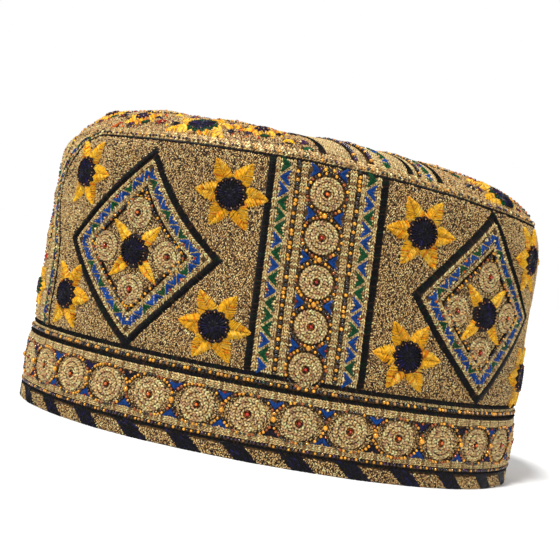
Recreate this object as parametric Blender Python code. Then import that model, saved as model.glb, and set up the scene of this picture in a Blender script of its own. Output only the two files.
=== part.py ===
"""A soft embroidered cap with a domed crown, built piece by piece as it is sewn.

The cap stands on its rim at z = 0, +Z up, with the wearer's forehead at -X and the left ear at -Y.
The crown is one piece of quilted cloth that also comes down over the forehead as a tongue, between the
front edges of two wall panels. Below them a border band and a rolled hem go all the way round.
"""

import math

import bmesh
import bpy
import numpy as np
from mathutils import Vector

# Driving sizes of the whole cap, in metres
CAP_LENGTH = 0.200  # outside, forehead to back, at half height
CAP_WIDTH = 0.156  # outside, ear to ear, at half height
SEAM_HEIGHT = 0.1102  # floor to the crown seam over the ears
CROWN_RISE = 0.0115  # from there to the middle of the crown

# Heights of the pieces below the wall panels
HEM_HEIGHT = 0.0060
BAND_HEIGHT = 0.0257

# Thickness of the quilted cloth, and of the hem where it is folded double
CLOTH = 0.0022
BAND_CLOTH = 0.0024
HEM_CLOTH = 0.0034

# Form of the sides, with heights and reaches as shares of the seam's height
RIM_FLARE = 0.0010  # the rim stands out by this much beyond the wall at FLARE_TOP
FLARE_TOP = 0.55
BELLY = 0.0009  # the forehead bulges out by this much at BELLY_HEIGHT
BELLY_HEIGHT = 0.60
BELLY_REACH = 0.18
BACK_LEAN = 0.0023  # the back leans in by this much at the height of the crown seam
LEAN_FROM = 0.45
CREASE_DEPTH = 0.0008  # pinch where the band is sewn to the wall panels
CREASE_REACH = 0.0035
SEAM_DROP_BACK = 0.0068  # the crown seam sits this much lower at the back
SEAM_DROP_FRONT = 0.0023  # and this much at the forehead
CROWN_TILT = 0.0066  # the crown's rise towards the forehead, if it went on to the end
TILT_SHARPNESS = 5  # how late that rise falls away towards the seam

# Form of the shoulder, where the side turns into the crown: over the ears, at the back, at the forehead.
# Start is where it begins, as a share of the seam's height, and the two powers set how square it is.
SHOULDER = {
    "ear": {"start": 0.967, "across": 3.1, "up": 2.9},
    "back": {"start": 0.732, "across": 3.5, "up": 3.7},
    "front": {"start": 0.778, "across": 4.0, "up": 3.7},
}

# Section of the hem, from its upper outer corner round to the upper inner one: how far in, as a share
# of the hem's thickness, and how high, as a share of its height
HEM_SECTION = (
    {"in": 0.00, "height": 1.00},
    {"in": -0.06, "height": 0.55},
    {"in": 0.00, "height": 0.18},
    {"in": 0.22, "height": 0.00},
    {"in": 0.78, "height": 0.00},
    {"in": 1.00, "height": 0.22},
    {"in": 0.96, "height": 1.00},
)

# Front edge of a wall panel: share of its height, and half the gap between the two panels there,
# as a share of the half width of the tongue's foot.
TONGUE_FOOT = 0.0846  # width of the tongue where it meets the band
PANEL_EDGE = (
    {"height": 0.00, "half": 1.00},
    {"height": 0.20, "half": 1.00},
    {"height": 0.33, "half": 0.985},
    {"height": 0.45, "half": 0.93},
    {"height": 0.56, "half": 0.81},
    {"height": 0.66, "half": 0.72},
    {"height": 0.75, "half": 0.725},
    {"height": 0.83, "half": 0.83},
    {"height": 0.91, "half": 0.98},
    {"height": 0.96, "half": 1.08},
    {"height": 1.00, "half": 1.24},
)

# Trim
PIPING = 0.0013  # diameter of the piping along the crown seam
BAND_CORD = 0.0015  # diameter of the upper black cord of the band
BAND_CORD_GAP = 0.0042  # height between the band's two black cords
THIN_CORD = 0.0011  # diameter of the lower black cord of the band
HEM_CORD = 0.0009  # diameter of the black cord above the hem
SEWN_GAP = 0.0005  # between the edges of two pieces of cloth that are sewn together
SEAT_GAP = 0.0003  # between a cord and the cloth that it is sewn on

# How finely the cloth is divided
COLUMNS = 64  # round the whole cap
TONGUE_COLUMNS = 12  # of them across the tongue
PANEL_ROWS = 12
CROWN_RINGS = 11
BAND_ROWS = 3
CORD_RESOLUTION = 1
ROW_CROWDING = 0.16  # how much the panel's rows draw together near its top corner
RING_CROWDING = 1.35  # how much the crown's rings draw together near its seam
CLOTH_SHARP = math.radians(50)  # edges sharper than this stay sharp
HEM_SHARP = math.radians(40)
SLOPE_STEP = 0.0002  # for the slope of the cloth's outside
EDGE_STEP = 0.01  # for the slant of a panel's front edge
WELD = 0.00002

# Colours and roughness
CROWN_FINISH = ((0.48, 0.38, 0.22), 0.75)
PANEL_FINISH = ((0.46, 0.36, 0.20), 0.75)
BAND_FINISH = ((0.44, 0.33, 0.18), 0.75)
HEM_FINISH = ((0.30, 0.24, 0.16), 0.8)
CORD_FINISH = ((0.012, 0.011, 0.014), 0.6)

BAND_TOP = HEM_HEIGHT + BAND_HEIGHT
CAP_HEIGHT = SEAM_HEIGHT + CROWN_RISE
HALF_LENGTH = CAP_LENGTH / 2
HALF_WIDTH = CAP_WIDTH / 2
PANEL_COLUMNS = (COLUMNS - TONGUE_COLUMNS) // 2

# Length along the wall's outline, measured from the middle of the forehead
OUTLINE_POINTS = 1441
OUTLINE_ANGLES = np.linspace(0.0, 2 * math.pi, OUTLINE_POINTS)
OUTLINE_STEPS = np.hypot(
    np.diff(HALF_LENGTH * np.cos(OUTLINE_ANGLES)), np.diff(HALF_WIDTH * np.sin(OUTLINE_ANGLES))
)
OUTLINE_LENGTHS = np.concatenate([[0.0], np.cumsum(OUTLINE_STEPS)])
GIRTH = float(OUTLINE_LENGTHS[-1])


def angle_at(length):
    """Angle round the cap, from the forehead over the left ear, at a length along the outline."""
    turns = math.floor(length / GIRTH)
    return float(np.interp(length - turns * GIRTH, OUTLINE_LENGTHS, OUTLINE_ANGLES)) + turns * 2 * math.pi


def end_share(angle):
    """1 at the forehead and the back, 0 over the ears."""
    return math.cos(angle) ** 2


def shoulder(angle):
    """Start height and the two powers of the shoulder at an angle."""
    end = SHOULDER["front"] if math.cos(angle) > 0 else SHOULDER["back"]
    ear = SHOULDER["ear"]
    share = end_share(angle)
    start, across, up = (ear[key] + (end[key] - ear[key]) * share for key in ("start", "across", "up"))
    return start * SEAM_HEIGHT, across, up


def seam_height(angle):
    """Height of the crown seam at an angle."""
    drop = SEAM_DROP_FRONT if math.cos(angle) > 0 else SEAM_DROP_BACK
    return SEAM_HEIGHT - drop * end_share(angle)


def girth_share(angle, height):
    """How wide the cap is at an angle and height before its shoulder, as a share of the wall's outline."""
    up = height / SEAM_HEIGHT
    crease = CREASE_DEPTH * math.exp(-(((height - BAND_TOP) / CREASE_REACH) ** 2))
    flare = RIM_FLARE * max(0.0, 1.0 - up / FLARE_TOP)
    if math.cos(angle) > 0:
        swell = BELLY * math.exp(-(((up - BELLY_HEIGHT) / BELLY_REACH) ** 2)) * end_share(angle) ** 2
    else:
        swell = -BACK_LEAN * (max(0.0, up - LEAN_FROM) / (1.0 - LEAN_FROM)) ** 2 * end_share(angle)
    return 1.0 + (flare + swell - crease) / HALF_LENGTH


def rise(angle, height):
    """How far up the shoulder a height is, 0 up to its start and 1 at the crown's top."""
    start = shoulder(angle)[0]
    return max((height - start) / (CAP_HEIGHT - start), 0.0)


def side_point(length, height):
    """Point on the outside of the cap's side."""
    angle = angle_at(length)
    start, across, up = shoulder(angle)
    share = (1.0 - rise(angle, height) ** up) ** (1.0 / across) * girth_share(angle, height)
    return Vector((-HALF_LENGTH * share * math.cos(angle), -HALF_WIDTH * share * math.sin(angle), height))


def crown_point(angle, share):
    """Point on the outside of the crown, share 1 at its seam and 0 in the middle."""
    start, across, up = shoulder(angle)
    seam = seam_height(angle) + SEWN_GAP / 2
    reach = (1.0 - rise(angle, seam) ** up) ** (1.0 / across) * share
    height = start + (CAP_HEIGHT - start) * (1.0 - reach**across) ** (1.0 / up)
    reach *= girth_share(angle, height)
    x, y = -HALF_LENGTH * reach * math.cos(angle), -HALF_WIDTH * reach * math.sin(angle)
    tilt = CROWN_TILT * max(-x / HALF_LENGTH, 0.0) * (1.0 - share**TILT_SHARPNESS)
    return Vector((x, y, height + tilt))


def outside(point):
    """0 on the outside of the cap, more beyond it, less within it."""
    angle = math.atan2(-point.y / HALF_WIDTH, -point.x / HALF_LENGTH)
    start, across, up = shoulder(angle)
    reach = math.hypot(point.x / HALF_LENGTH, point.y / HALF_WIDTH) / girth_share(angle, point.z)
    return reach**across + rise(angle, point.z) ** up - 1.0


def outward(point):
    """Direction square to the cloth's outside at a point on it."""
    slopes = []
    for axis in range(3):
        shift = Vector((0.0, 0.0, 0.0))
        shift[axis] = SLOPE_STEP
        slopes.append(outside(point + shift) - outside(point - shift))
    return Vector(slopes).normalized()


def panel_edge(share):
    """Half the gap between the wall panels' front edges, at a share of their height."""
    heights = [row["height"] for row in PANEL_EDGE]
    halves = [row["half"] for row in PANEL_EDGE]
    slopes = np.gradient(halves, heights)
    i = min(max(int(np.searchsorted(heights, share, side="right")) - 1, 0), len(heights) - 2)
    width = heights[i + 1] - heights[i]
    t = (share - heights[i]) / width
    value = (
        (2 * t**3 - 3 * t**2 + 1) * halves[i]
        + (t**3 - 2 * t**2 + t) * width * slopes[i]
        + (3 * t**2 - 2 * t**3) * halves[i + 1]
        + (t**3 - t**2) * width * slopes[i + 1]
    )
    return value * TONGUE_FOOT / 2


def edge_offset(share):
    """How far along the outline half the sewn gap reaches where the panel's edge slants."""
    above, below = min(share + EDGE_STEP, 1.0), max(share - EDGE_STEP, 0.0)
    slant = (panel_edge(above) - panel_edge(below)) / (above - below) / (SEAM_HEIGHT - BAND_TOP)
    return SEWN_GAP / 2 * math.hypot(1.0, slant)


def row_share(even):
    """Share of the panel's height at an even share of its rows."""
    return even + ROW_CROWDING * math.sin(math.pi * even) * even


def panel_height(length, share, above_seam):
    """Height at a share of the way from the band up to the crown seam."""
    foot = BAND_TOP + SEWN_GAP / 2
    top = seam_height(angle_at(length)) + above_seam
    return foot + (top - foot) * share


def new_object(name, data, collection, finish):
    """Links an object with a material of its own."""
    colour, roughness = finish
    material = bpy.data.materials.new(name)
    material.use_nodes = True
    shader = material.node_tree.nodes["Principled BSDF"]
    shader.inputs["Base Color"].default_value = (*colour, 1.0)
    shader.inputs["Roughness"].default_value = roughness
    data.materials.append(material)
    piece = bpy.data.objects.new(name, data)
    collection.objects.link(piece)
    return piece


def grid(bm, across, up, place):
    """Adds a flat grid of cloth and moves each corner (column share, row share) to its place."""
    made = bmesh.ops.create_grid(bm, x_segments=across, y_segments=up, size=1.0)
    for corner in made["verts"]:
        corner.co = place((corner.co.x + 1) / 2, (corner.co.y + 1) / 2)


def closed_mesh(name, bm, sharp):
    """Turns the faces outwards and makes a mesh."""
    bmesh.ops.recalc_face_normals(bm, faces=bm.faces)
    mesh = bpy.data.meshes.new(name)
    bm.to_mesh(mesh)
    bm.free()
    mesh.set_sharp_from_angle(angle=sharp)
    return mesh


def cloth_piece(name, bm, thickness, collection, finish):
    """Makes a sheet of cloth a closed wall, thickened inwards."""
    bmesh.ops.remove_doubles(bm, verts=bm.verts, dist=WELD)
    wall = bmesh.ops.extrude_face_region(bm, geom=bm.faces[:], use_keep_orig=True)
    for corner in wall["geom"]:
        if isinstance(corner, bmesh.types.BMVert):
            corner.co -= outward(corner.co) * thickness
    return new_object(name, closed_mesh(name, bm, CLOTH_SHARP), collection, finish)


def build_panel(name, side, collection):
    """One wall panel, from its front edge round to the back seam. side is 1 on the left, -1 on the right."""
    bm = bmesh.new()

    def place(column, row):
        share = row_share(row)
        front = panel_edge(share) + edge_offset(share)
        back = GIRTH / 2 - SEWN_GAP / 2
        length = front + (back - front) * column
        point = side_point(length, panel_height(length, share, -SEWN_GAP / 2))
        point.y *= side
        return point

    grid(bm, PANEL_COLUMNS, PANEL_ROWS, place)
    return cloth_piece(name, bm, CLOTH, collection, PANEL_FINISH)


def crown_angles():
    """Angles of the crown's columns: the tongue's own first, then evenly round to where it started."""
    half = panel_edge(1.0) - edge_offset(1.0)
    tongue = [half * (2 * i / TONGUE_COLUMNS - 1) for i in range(TONGUE_COLUMNS + 1)]
    rest = COLUMNS - TONGUE_COLUMNS
    others = [half + (GIRTH - 2 * half) * i / rest for i in range(1, rest + 1)]
    return [angle_at(length) for length in tongue + others]


def build_crown(collection):
    """The crown's dome with the tongue that comes down over the forehead, in one piece of cloth."""
    bm = bmesh.new()
    angles = crown_angles()

    def dome(column, row):
        angle = angles[round(column * COLUMNS)]
        return crown_point(angle, 1.0 - row**RING_CROWDING)

    def tongue(column, row):
        share = row_share(row)
        half = panel_edge(share) - edge_offset(share)
        length = half * (2 * column - 1)
        return side_point(length, panel_height(length, share, SEWN_GAP / 2))

    grid(bm, COLUMNS, CROWN_RINGS, dome)
    grid(bm, TONGUE_COLUMNS, PANEL_ROWS, tongue)
    return cloth_piece("crown", bm, CLOTH, collection, CROWN_FINISH)


def build_band(collection):
    """The border band between the hem and the wall panels."""
    bm = bmesh.new()
    foot, top = HEM_HEIGHT + SEWN_GAP / 2, BAND_TOP - SEWN_GAP / 2

    def place(column, row):
        return side_point(GIRTH * column, foot + (top - foot) * row)

    grid(bm, COLUMNS, BAND_ROWS, place)
    return cloth_piece("border_band", bm, BAND_CLOTH, collection, BAND_FINISH)


def build_hem(collection):
    """The rolled hem: a folded strip with a flat foot that the cap rests on."""
    bm = bmesh.new()
    top = HEM_HEIGHT - SEWN_GAP / 2

    def place(column, row):
        corner = HEM_SECTION[round(row * len(HEM_SECTION)) % len(HEM_SECTION)]
        point = side_point(GIRTH * column, corner["height"] * top)
        across = outward(point)
        across.z = 0.0
        return point - across.normalized() * corner["in"] * HEM_CLOTH

    grid(bm, COLUMNS, len(HEM_SECTION), place)
    bmesh.ops.remove_doubles(bm, verts=bm.verts, dist=WELD)
    return new_object("hem_binding", closed_mesh("hem_binding", bm, HEM_SHARP), collection, HEM_FINISH)


def build_cord(name, points, diameter, closed, collection):
    """A cord sewn on the cloth along its points."""
    curve = bpy.data.curves.new(name, "CURVE")
    curve.dimensions = "3D"
    curve.bevel_depth = diameter / 2
    curve.bevel_resolution = CORD_RESOLUTION
    curve.use_fill_caps = not closed
    spline = curve.splines.new("POLY")
    spline.points.add(len(points) - 1)
    for corner, point in zip(spline.points, points):
        corner.co = (*point, 1.0)
    spline.use_cyclic_u = closed
    return new_object(name, curve, collection, CORD_FINISH)


def sewn_point(length, height, diameter):
    """Middle of a cord that is sewn on the cloth's outside."""
    point = side_point(length, height)
    return point + outward(point) * (diameter / 2 + SEAT_GAP)


def build_ring_cord(name, height, diameter, collection):
    """A cord that goes right round the cap at one height."""
    points = [sewn_point(GIRTH * i / COLUMNS, height, diameter) for i in range(COLUMNS)]
    return build_cord(name, points, diameter, True, collection)


def build_piping(collection):
    """The piping up one panel's front edge, round the crown seam and down the other panel's edge."""
    foot = BAND_TOP + BAND_CORD / 2 + PIPING
    edge = []
    for row in range(PANEL_ROWS + 1):
        share = row_share(row / PANEL_ROWS)
        length = panel_edge(share)
        height = foot + (seam_height(angle_at(length)) - foot) * share
        edge.append((length, height))
    corner = edge[-1][0]
    steps = COLUMNS - TONGUE_COLUMNS
    seam = []
    for i in range(1, steps):
        length = corner + (GIRTH - 2 * corner) * i / steps
        seam.append((length, seam_height(angle_at(length))))
    other = [(GIRTH - length, height) for length, height in reversed(edge)]
    points = [sewn_point(length, height, PIPING) for length, height in edge + seam + other]
    return build_cord("crown_piping", points, PIPING, False, collection)


def main():
    for old in list(bpy.data.objects):
        bpy.data.objects.remove(old)
    collection = bpy.data.collections.new("embroidered_cap")
    bpy.context.scene.collection.children.link(collection)
    build_crown(collection)
    build_panel("wall_panel_left", 1, collection)
    build_panel("wall_panel_right", -1, collection)
    build_band(collection)
    build_hem(collection)
    build_piping(collection)
    build_ring_cord("band_upper_cord", BAND_TOP, BAND_CORD, collection)
    build_ring_cord("band_lower_cord", BAND_TOP - BAND_CORD_GAP, THIN_CORD, collection)
    build_ring_cord("hem_cord", HEM_HEIGHT, HEM_CORD, collection)


main()
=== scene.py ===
"""The looks of an embroidered cap: quilted cloth, couched and satin stitches, braided coils and beads.

Everything sewn is laid out flat, in millimetres, on a chart of the part of the cap that carries it, and
then wrapped onto the cloth. Left and right are the wearer's own, with the forehead at -X.
"""

import logging
import math
from dataclasses import dataclass, field
from enum import Enum
from functools import partial
from typing import Callable, Optional, Sequence

import bmesh
import bpy
import numpy as np
from mathutils import Matrix, Vector


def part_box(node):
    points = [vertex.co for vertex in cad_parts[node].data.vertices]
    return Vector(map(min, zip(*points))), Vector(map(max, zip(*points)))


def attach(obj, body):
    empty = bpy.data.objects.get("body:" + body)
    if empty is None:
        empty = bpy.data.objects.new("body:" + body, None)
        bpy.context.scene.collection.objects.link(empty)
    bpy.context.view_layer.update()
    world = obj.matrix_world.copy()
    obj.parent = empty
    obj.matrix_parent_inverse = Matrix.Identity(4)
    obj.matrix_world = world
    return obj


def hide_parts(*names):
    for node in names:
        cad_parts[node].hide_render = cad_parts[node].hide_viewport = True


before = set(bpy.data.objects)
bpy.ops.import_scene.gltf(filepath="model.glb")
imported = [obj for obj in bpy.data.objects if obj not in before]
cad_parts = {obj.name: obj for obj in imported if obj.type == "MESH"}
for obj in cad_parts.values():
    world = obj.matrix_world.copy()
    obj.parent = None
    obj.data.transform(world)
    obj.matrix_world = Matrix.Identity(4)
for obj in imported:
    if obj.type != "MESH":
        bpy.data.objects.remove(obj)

LOG = logging.getLogger("cap")
MM = 0.001
BODY = "root"
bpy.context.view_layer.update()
DRAWS = np.random.default_rng(1931)
MID_HEIGHT = 68.0
SAME_PLACE = 0.000005
MIRROR = np.array([1.0, -1.0, 1.0])

Array = np.ndarray
Amount = Array | float
Corner = tuple[float, float]
Area = Callable[[Array, Array], Array]


def linear(red: float, green: float, blue: float) -> tuple[float, float, float]:
    """Turns a colour as a screen shows it, 0 to 255, into linear light.

    Args:
        red: Red as shown.
        green: Green as shown.
        blue: Blue as shown.

    Returns:
        The three linear values.
    """
    shown = np.array([red, green, blue]) / 255.0
    light = np.where(shown <= 0.04045, shown / 12.92, ((shown + 0.055) / 1.055) ** 2.4)
    return tuple(float(value) for value in light)


class Yarn(Enum):
    """Colours of thread and beads, as a screen shows them."""

    BEIGE = (226, 182, 112)
    PALE = (255, 220, 152)
    TAN = (164, 116, 60)
    PINKISH = (208, 156, 116)
    STRAW = (255, 204, 80)
    YELLOW = (255, 186, 34)
    AMBER = (238, 132, 16)
    RUST = (150, 72, 14)
    NAVY = (10, 8, 30)
    INDIGO = (22, 18, 66)
    BLUE = (0, 62, 134)
    GREEN = (0, 72, 36)
    BOTTLE = (3, 32, 16)
    RED = (160, 30, 12)
    ORANGE = (214, 100, 24)
    PLUM = (60, 24, 64)
    BROWN = (50, 28, 16)
    BLACK = (6, 5, 8)
    GOLD = (224, 152, 34)


class Kind(Enum):
    """What a sewn thing is made of, which decides its material."""

    METALLIC = "metallic_thread"
    SATIN = "satin_thread"
    BLACK = "black_thread"
    GLASS = "glass_beads"
    GILT = "gilt_beads"


# Painted shade: each sewn copy's colour darkens from its top to its foot, where it meets the cloth; these are
# the shares of brightness left at the foot.
FOOT_BRIGHTNESS_UNDER_PAINTED_SHADE = {Kind.METALLIC: 0.32, Kind.SATIN: 0.74, Kind.BLACK: 0.5, Kind.GLASS: 0.36, Kind.GILT: 0.26}


def palette(names: str) -> tuple[Yarn, ...]:
    """Finds yarns by their names, with spaces between."""
    return tuple(Yarn[name.upper()] for name in names.split())


def one_of(names: str) -> Yarn:
    """Picks one of some yarns by chance."""
    yarns = palette(names)
    return yarns[int(DRAWS.integers(len(yarns)))]


def dyes(yarns: Sequence[Yarn]) -> Array:
    """The linear colours of yarns, one a row."""
    return np.array([linear(*yarn.value) for yarn in yarns])


def varied(colours: Array, spread: float) -> Array:
    """Makes each colour a little lighter or darker by chance.

    Args:
        colours: One linear colour a row.
        spread: How much lighter or darker, as a share.

    Returns:
        The changed colours.
    """
    return np.clip(colours * (1.0 + spread * DRAWS.uniform(-1.0, 1.0, (len(colours), 1))), 0.0, 1.0)


def dyed(yarns: Sequence[Yarn] | Yarn, count: int, spread: float = 0.16) -> Array:
    """Gives each of many things one of some colours in turn.

    Args:
        yarns: One colour, or several that take turns.
        count: How many things.
        spread: How much lighter or darker they come out, as a share.

    Returns:
        One linear colour a row.
    """
    table = dyes([yarns] if isinstance(yarns, Yarn) else yarns)
    return varied(table[np.arange(count) % len(table)], spread)


def mixed(yarns: Sequence[Yarn], shares: Sequence[float], count: int, spread: float = 0.16) -> Array:
    """Gives each of many things one of some colours by chance.

    Args:
        yarns: The colours.
        shares: How often each comes.
        count: How many things.
        spread: How much lighter or darker they come out, as a share.

    Returns:
        One linear colour a row.
    """
    picks = DRAWS.choice(len(yarns), size=count, p=np.array(shares) / sum(shares))
    return varied(dyes(yarns)[picks], spread)


@dataclass
class CapForm:
    """The outside of the cap's cloth, in millimetres, with lengths along its outline from the forehead."""

    half_length: float = 100.0
    half_width: float = 78.0
    seam: float = 110.2
    crown_rise: float = 11.5
    hem_top: float = 6.0
    band_top: float = 31.7
    rim_flare: float = 1.0
    flare_top: float = 0.55
    belly: float = 0.9
    belly_height: float = 0.60
    belly_reach: float = 0.18
    back_lean: float = 2.3
    lean_from: float = 0.45
    crease: float = 0.8
    crease_reach: float = 3.5
    seam_drop_back: float = 6.8
    seam_drop_front: float = 2.3
    crown_tilt: float = 6.6
    tilt_sharpness: float = 5.0
    ear: tuple[float, float, float] = (0.967, 3.1, 2.9)
    back: tuple[float, float, float] = (0.732, 3.5, 3.7)
    front: tuple[float, float, float] = (0.778, 4.0, 3.7)

    def __post_init__(self) -> None:
        """Measures the outline once."""
        self.top = self.seam + self.crown_rise
        self.turns = np.linspace(-2 * math.pi, 4 * math.pi, 8641)
        x, y = self.half_length * np.cos(self.turns), self.half_width * np.sin(self.turns)
        steps = np.hypot(np.diff(x), np.diff(y))
        lengths = np.concatenate([[0.0], np.cumsum(steps)])
        self.lengths = lengths - np.interp(0.0, self.turns, lengths)
        self.girth = float(np.interp(2 * math.pi, self.turns, self.lengths))

    def angle(self, length: Array) -> Array:
        """Angle round the cap at a length along its outline."""
        return np.interp(length, self.lengths, self.turns)

    def shoulder(self, angle: Array) -> tuple[Array, Array, Array]:
        """Start height and the two powers of the shoulder at an angle."""
        ends = np.cos(angle) ** 2
        ahead = np.cos(angle) > 0
        start, across, up = (
            side + (np.where(ahead, front, back) - side) * ends
            for side, front, back in zip(self.ear, self.front, self.back)
        )
        return start * self.seam, across, up

    def seam_height(self, angle: Array) -> Array:
        """Height of the crown seam at an angle."""
        drop = np.where(np.cos(angle) > 0, self.seam_drop_front, self.seam_drop_back)
        return self.seam - drop * np.cos(angle) ** 2

    def girth_share(self, angle: Array, height: Array) -> Array:
        """How wide the cap is before its shoulder, as a share of the outline."""
        up = height / self.seam
        ends = np.cos(angle) ** 2
        crease = self.crease * np.exp(-(((height - self.band_top) / self.crease_reach) ** 2))
        flare = self.rim_flare * np.maximum(0.0, 1.0 - up / self.flare_top)
        belly = self.belly * np.exp(-(((up - self.belly_height) / self.belly_reach) ** 2)) * ends**2
        lean = self.back_lean * (np.maximum(0.0, up - self.lean_from) / (1.0 - self.lean_from)) ** 2 * ends
        swell = np.where(np.cos(angle) > 0, belly, -lean)
        return 1.0 + (flare + swell - crease) / self.half_length

    def rise(self, start: Array, height: Array) -> Array:
        """How far up the shoulder a height is."""
        return np.maximum((height - start) / (self.top - start), 0.0)

    def side(self, length: Array, height: Array) -> Array:
        """Points on the side.

        Args:
            length: Lengths along the outline.
            height: Heights above the floor.

        Returns:
            One point a row.
        """
        angle = self.angle(length)
        start, across, up = self.shoulder(angle)
        full = np.maximum(1.0 - self.rise(start, height) ** up, 0.0) ** (1.0 / across)
        share = full * self.girth_share(angle, height)
        x = -self.half_length * share * np.cos(angle)
        y = -self.half_width * share * np.sin(angle)
        return np.stack([x, y, height], axis=-1)

    def crown(self, angle: Array, share: Array) -> Array:
        """Points on the crown, share 1 at its seam and 0 in the middle."""
        start, across, up = self.shoulder(angle)
        edge = np.maximum(1.0 - self.rise(start, self.seam_height(angle)) ** up, 0.0) ** (1.0 / across)
        reach = edge * share
        height = start + (self.top - start) * np.maximum(1.0 - reach**across, 0.0) ** (1.0 / up)
        reach = reach * self.girth_share(angle, height)
        x = -self.half_length * reach * np.cos(angle)
        y = -self.half_width * reach * np.sin(angle)
        tilt = self.crown_tilt * np.maximum(-x / self.half_length, 0.0) * (1.0 - share**self.tilt_sharpness)
        return np.stack([x, y, height + tilt], axis=-1)


def cord_height(node: str) -> float:
    """Middle height of one of the record's cords."""
    low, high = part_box(node)
    return 1000.0 * (low[2] + high[2]) / 2


FORM = CapForm(hem_top=cord_height("hem_cord"), band_top=cord_height("band_upper_cord"))
QUARTER = FORM.girth / 4


def softness(place: Array) -> Array:
    """How far the soft cloth stands out of its even form, in millimetres, at points of the cap."""
    x, y, z = place[:, 0], place[:, 1], place[:, 2]
    long_waves = np.sin(x / 17.0 + 1.3) * np.sin(z / 14.0 + y / 31.0 + 0.6)
    short_waves = np.sin(x / 7.3 + y / 9.0 + 0.4) * np.sin(z / 6.1 - y / 17.0)
    return 0.42 * long_waves + 0.16 * short_waves


class Chart:
    """A part of the cap laid out flat: p runs along, q runs up or inwards, both in millimetres."""

    def __init__(self, surface: Area, mirrored: bool = False) -> None:
        """Keeps the surface, and whether the chart is used as its mirror image."""
        self.surface = surface
        self.mirrored = mirrored

    def bare(self, p: Array, q: Array) -> Array:
        """Points on the cloth, mirrored if need be."""
        points = self.surface(p, q)
        return points * MIRROR if self.mirrored else points

    def place(self, p: Array, q: Array, lift: Array) -> Array:
        """Wraps points of the chart onto the cap.

        Args:
            p: Places along the chart.
            q: Places across it.
            lift: Heights above the cloth.

        Returns:
            One point a row, in metres.
        """
        step = 0.2
        along = self.bare(p + step, q) - self.bare(p - step, q)
        upwards = self.bare(p, q + step) - self.bare(p, q - step)
        normal = np.cross(along, upwards)
        if self.mirrored:
            normal = -normal
        normal /= np.maximum(np.linalg.norm(normal, axis=1, keepdims=True), 1e-9)
        points = self.bare(p, q)
        return (points + normal * (lift + softness(points))[:, None]) * MM


def side_chart(mirrored: bool = False, lean: float = 0.0) -> Chart:
    """Chart of the cap's side, with p = 0 over the left ear and q the height.

    Args:
        mirrored: Whether it is the right side, seen as the mirror image of the left.
        lean: How far the pattern leans back for each millimetre down from mid height.

    Returns:
        The chart.
    """

    def surface(p: Array, q: Array) -> Array:
        """Points at places of this chart."""
        return FORM.side(p + QUARTER - lean * (q - MID_HEIGHT), q)

    return Chart(surface, mirrored)


def crown_angle(p: Array, q: Array) -> Array:
    """Angles round the cap of places on the crown's chart."""
    return np.arctan2(-q / FORM.half_width, -p / FORM.half_length)


class CrownMap:
    """Turns distances over the crown's cloth from its middle into places on it."""

    def __init__(self, rows: int = 181, columns: int = 361) -> None:
        """Measures the cloth along lines from the middle to the seam."""
        self.rows, self.columns = rows, columns
        angles = np.linspace(-math.pi, math.pi, columns)
        shares = np.linspace(0.0, 1.0, rows)
        grid_angle, grid_share = np.meshgrid(angles, shares)
        points = FORM.crown(grid_angle.ravel(), grid_share.ravel()).reshape(rows, columns, 3)
        steps = np.linalg.norm(np.diff(points, axis=0), axis=2)
        distance = np.concatenate([np.zeros((1, columns)), np.cumsum(steps, axis=0)])
        self.full, self.angles = distance[-1], angles
        self.table = np.stack([np.interp(shares, d / d[-1], shares) for d in distance.T], axis=1)

    def full_at(self, angle: Array) -> Array:
        """Distance from the middle to the seam at an angle."""
        return np.interp(angle, self.angles, self.full)

    def inset(self, p: Array, q: Array) -> tuple[Array, Array]:
        """How far in from the seam places of the crown's chart are, and their angles."""
        angle = crown_angle(p, q)
        return self.full_at(angle) - np.hypot(p, q), angle

    def point(self, angle: Array, distance: Array) -> Array:
        """Points at a distance from the middle, at an angle.

        Args:
            angle: Angles round the cap, from -pi to pi.
            distance: Distances over the cloth from the middle.

        Returns:
            One point a row.
        """
        part = np.clip(distance / self.full_at(angle), 0.0, 1.0) * (self.rows - 1)
        turn = (angle + math.pi) / (2 * math.pi) * (self.columns - 1)
        row = np.minimum(part.astype(int), self.rows - 2)
        column = np.minimum(turn.astype(int), self.columns - 2)
        a, b = part - row, turn - column
        share = (
            self.table[row, column] * (1 - a) * (1 - b)
            + self.table[row + 1, column] * a * (1 - b)
            + self.table[row, column + 1] * (1 - a) * b
            + self.table[row + 1, column + 1] * a * b
        )
        return FORM.crown(angle, share)


CROWN_MAP = CrownMap()


def crown_chart(mirrored: bool = False) -> Chart:
    """Chart of the crown seen from above, with p to the back of the head and its middle at the origin."""

    def surface(p: Array, q: Array) -> Array:
        """Points at places of this chart."""
        return CROWN_MAP.point(crown_angle(p, q), np.hypot(p, q))

    return Chart(surface, mirrored)


def seam_chart() -> Chart:
    """Chart of the crown's edge, with p = 0 over the left ear and q the distance in from the seam."""

    def surface(p: Array, q: Array) -> Array:
        """Points at places of this chart."""
        angle = FORM.angle(p + QUARTER)
        angle = np.arctan2(np.sin(angle), np.cos(angle))
        return CROWN_MAP.point(angle, CROWN_MAP.full_at(angle) - q)

    return Chart(surface)


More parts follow.
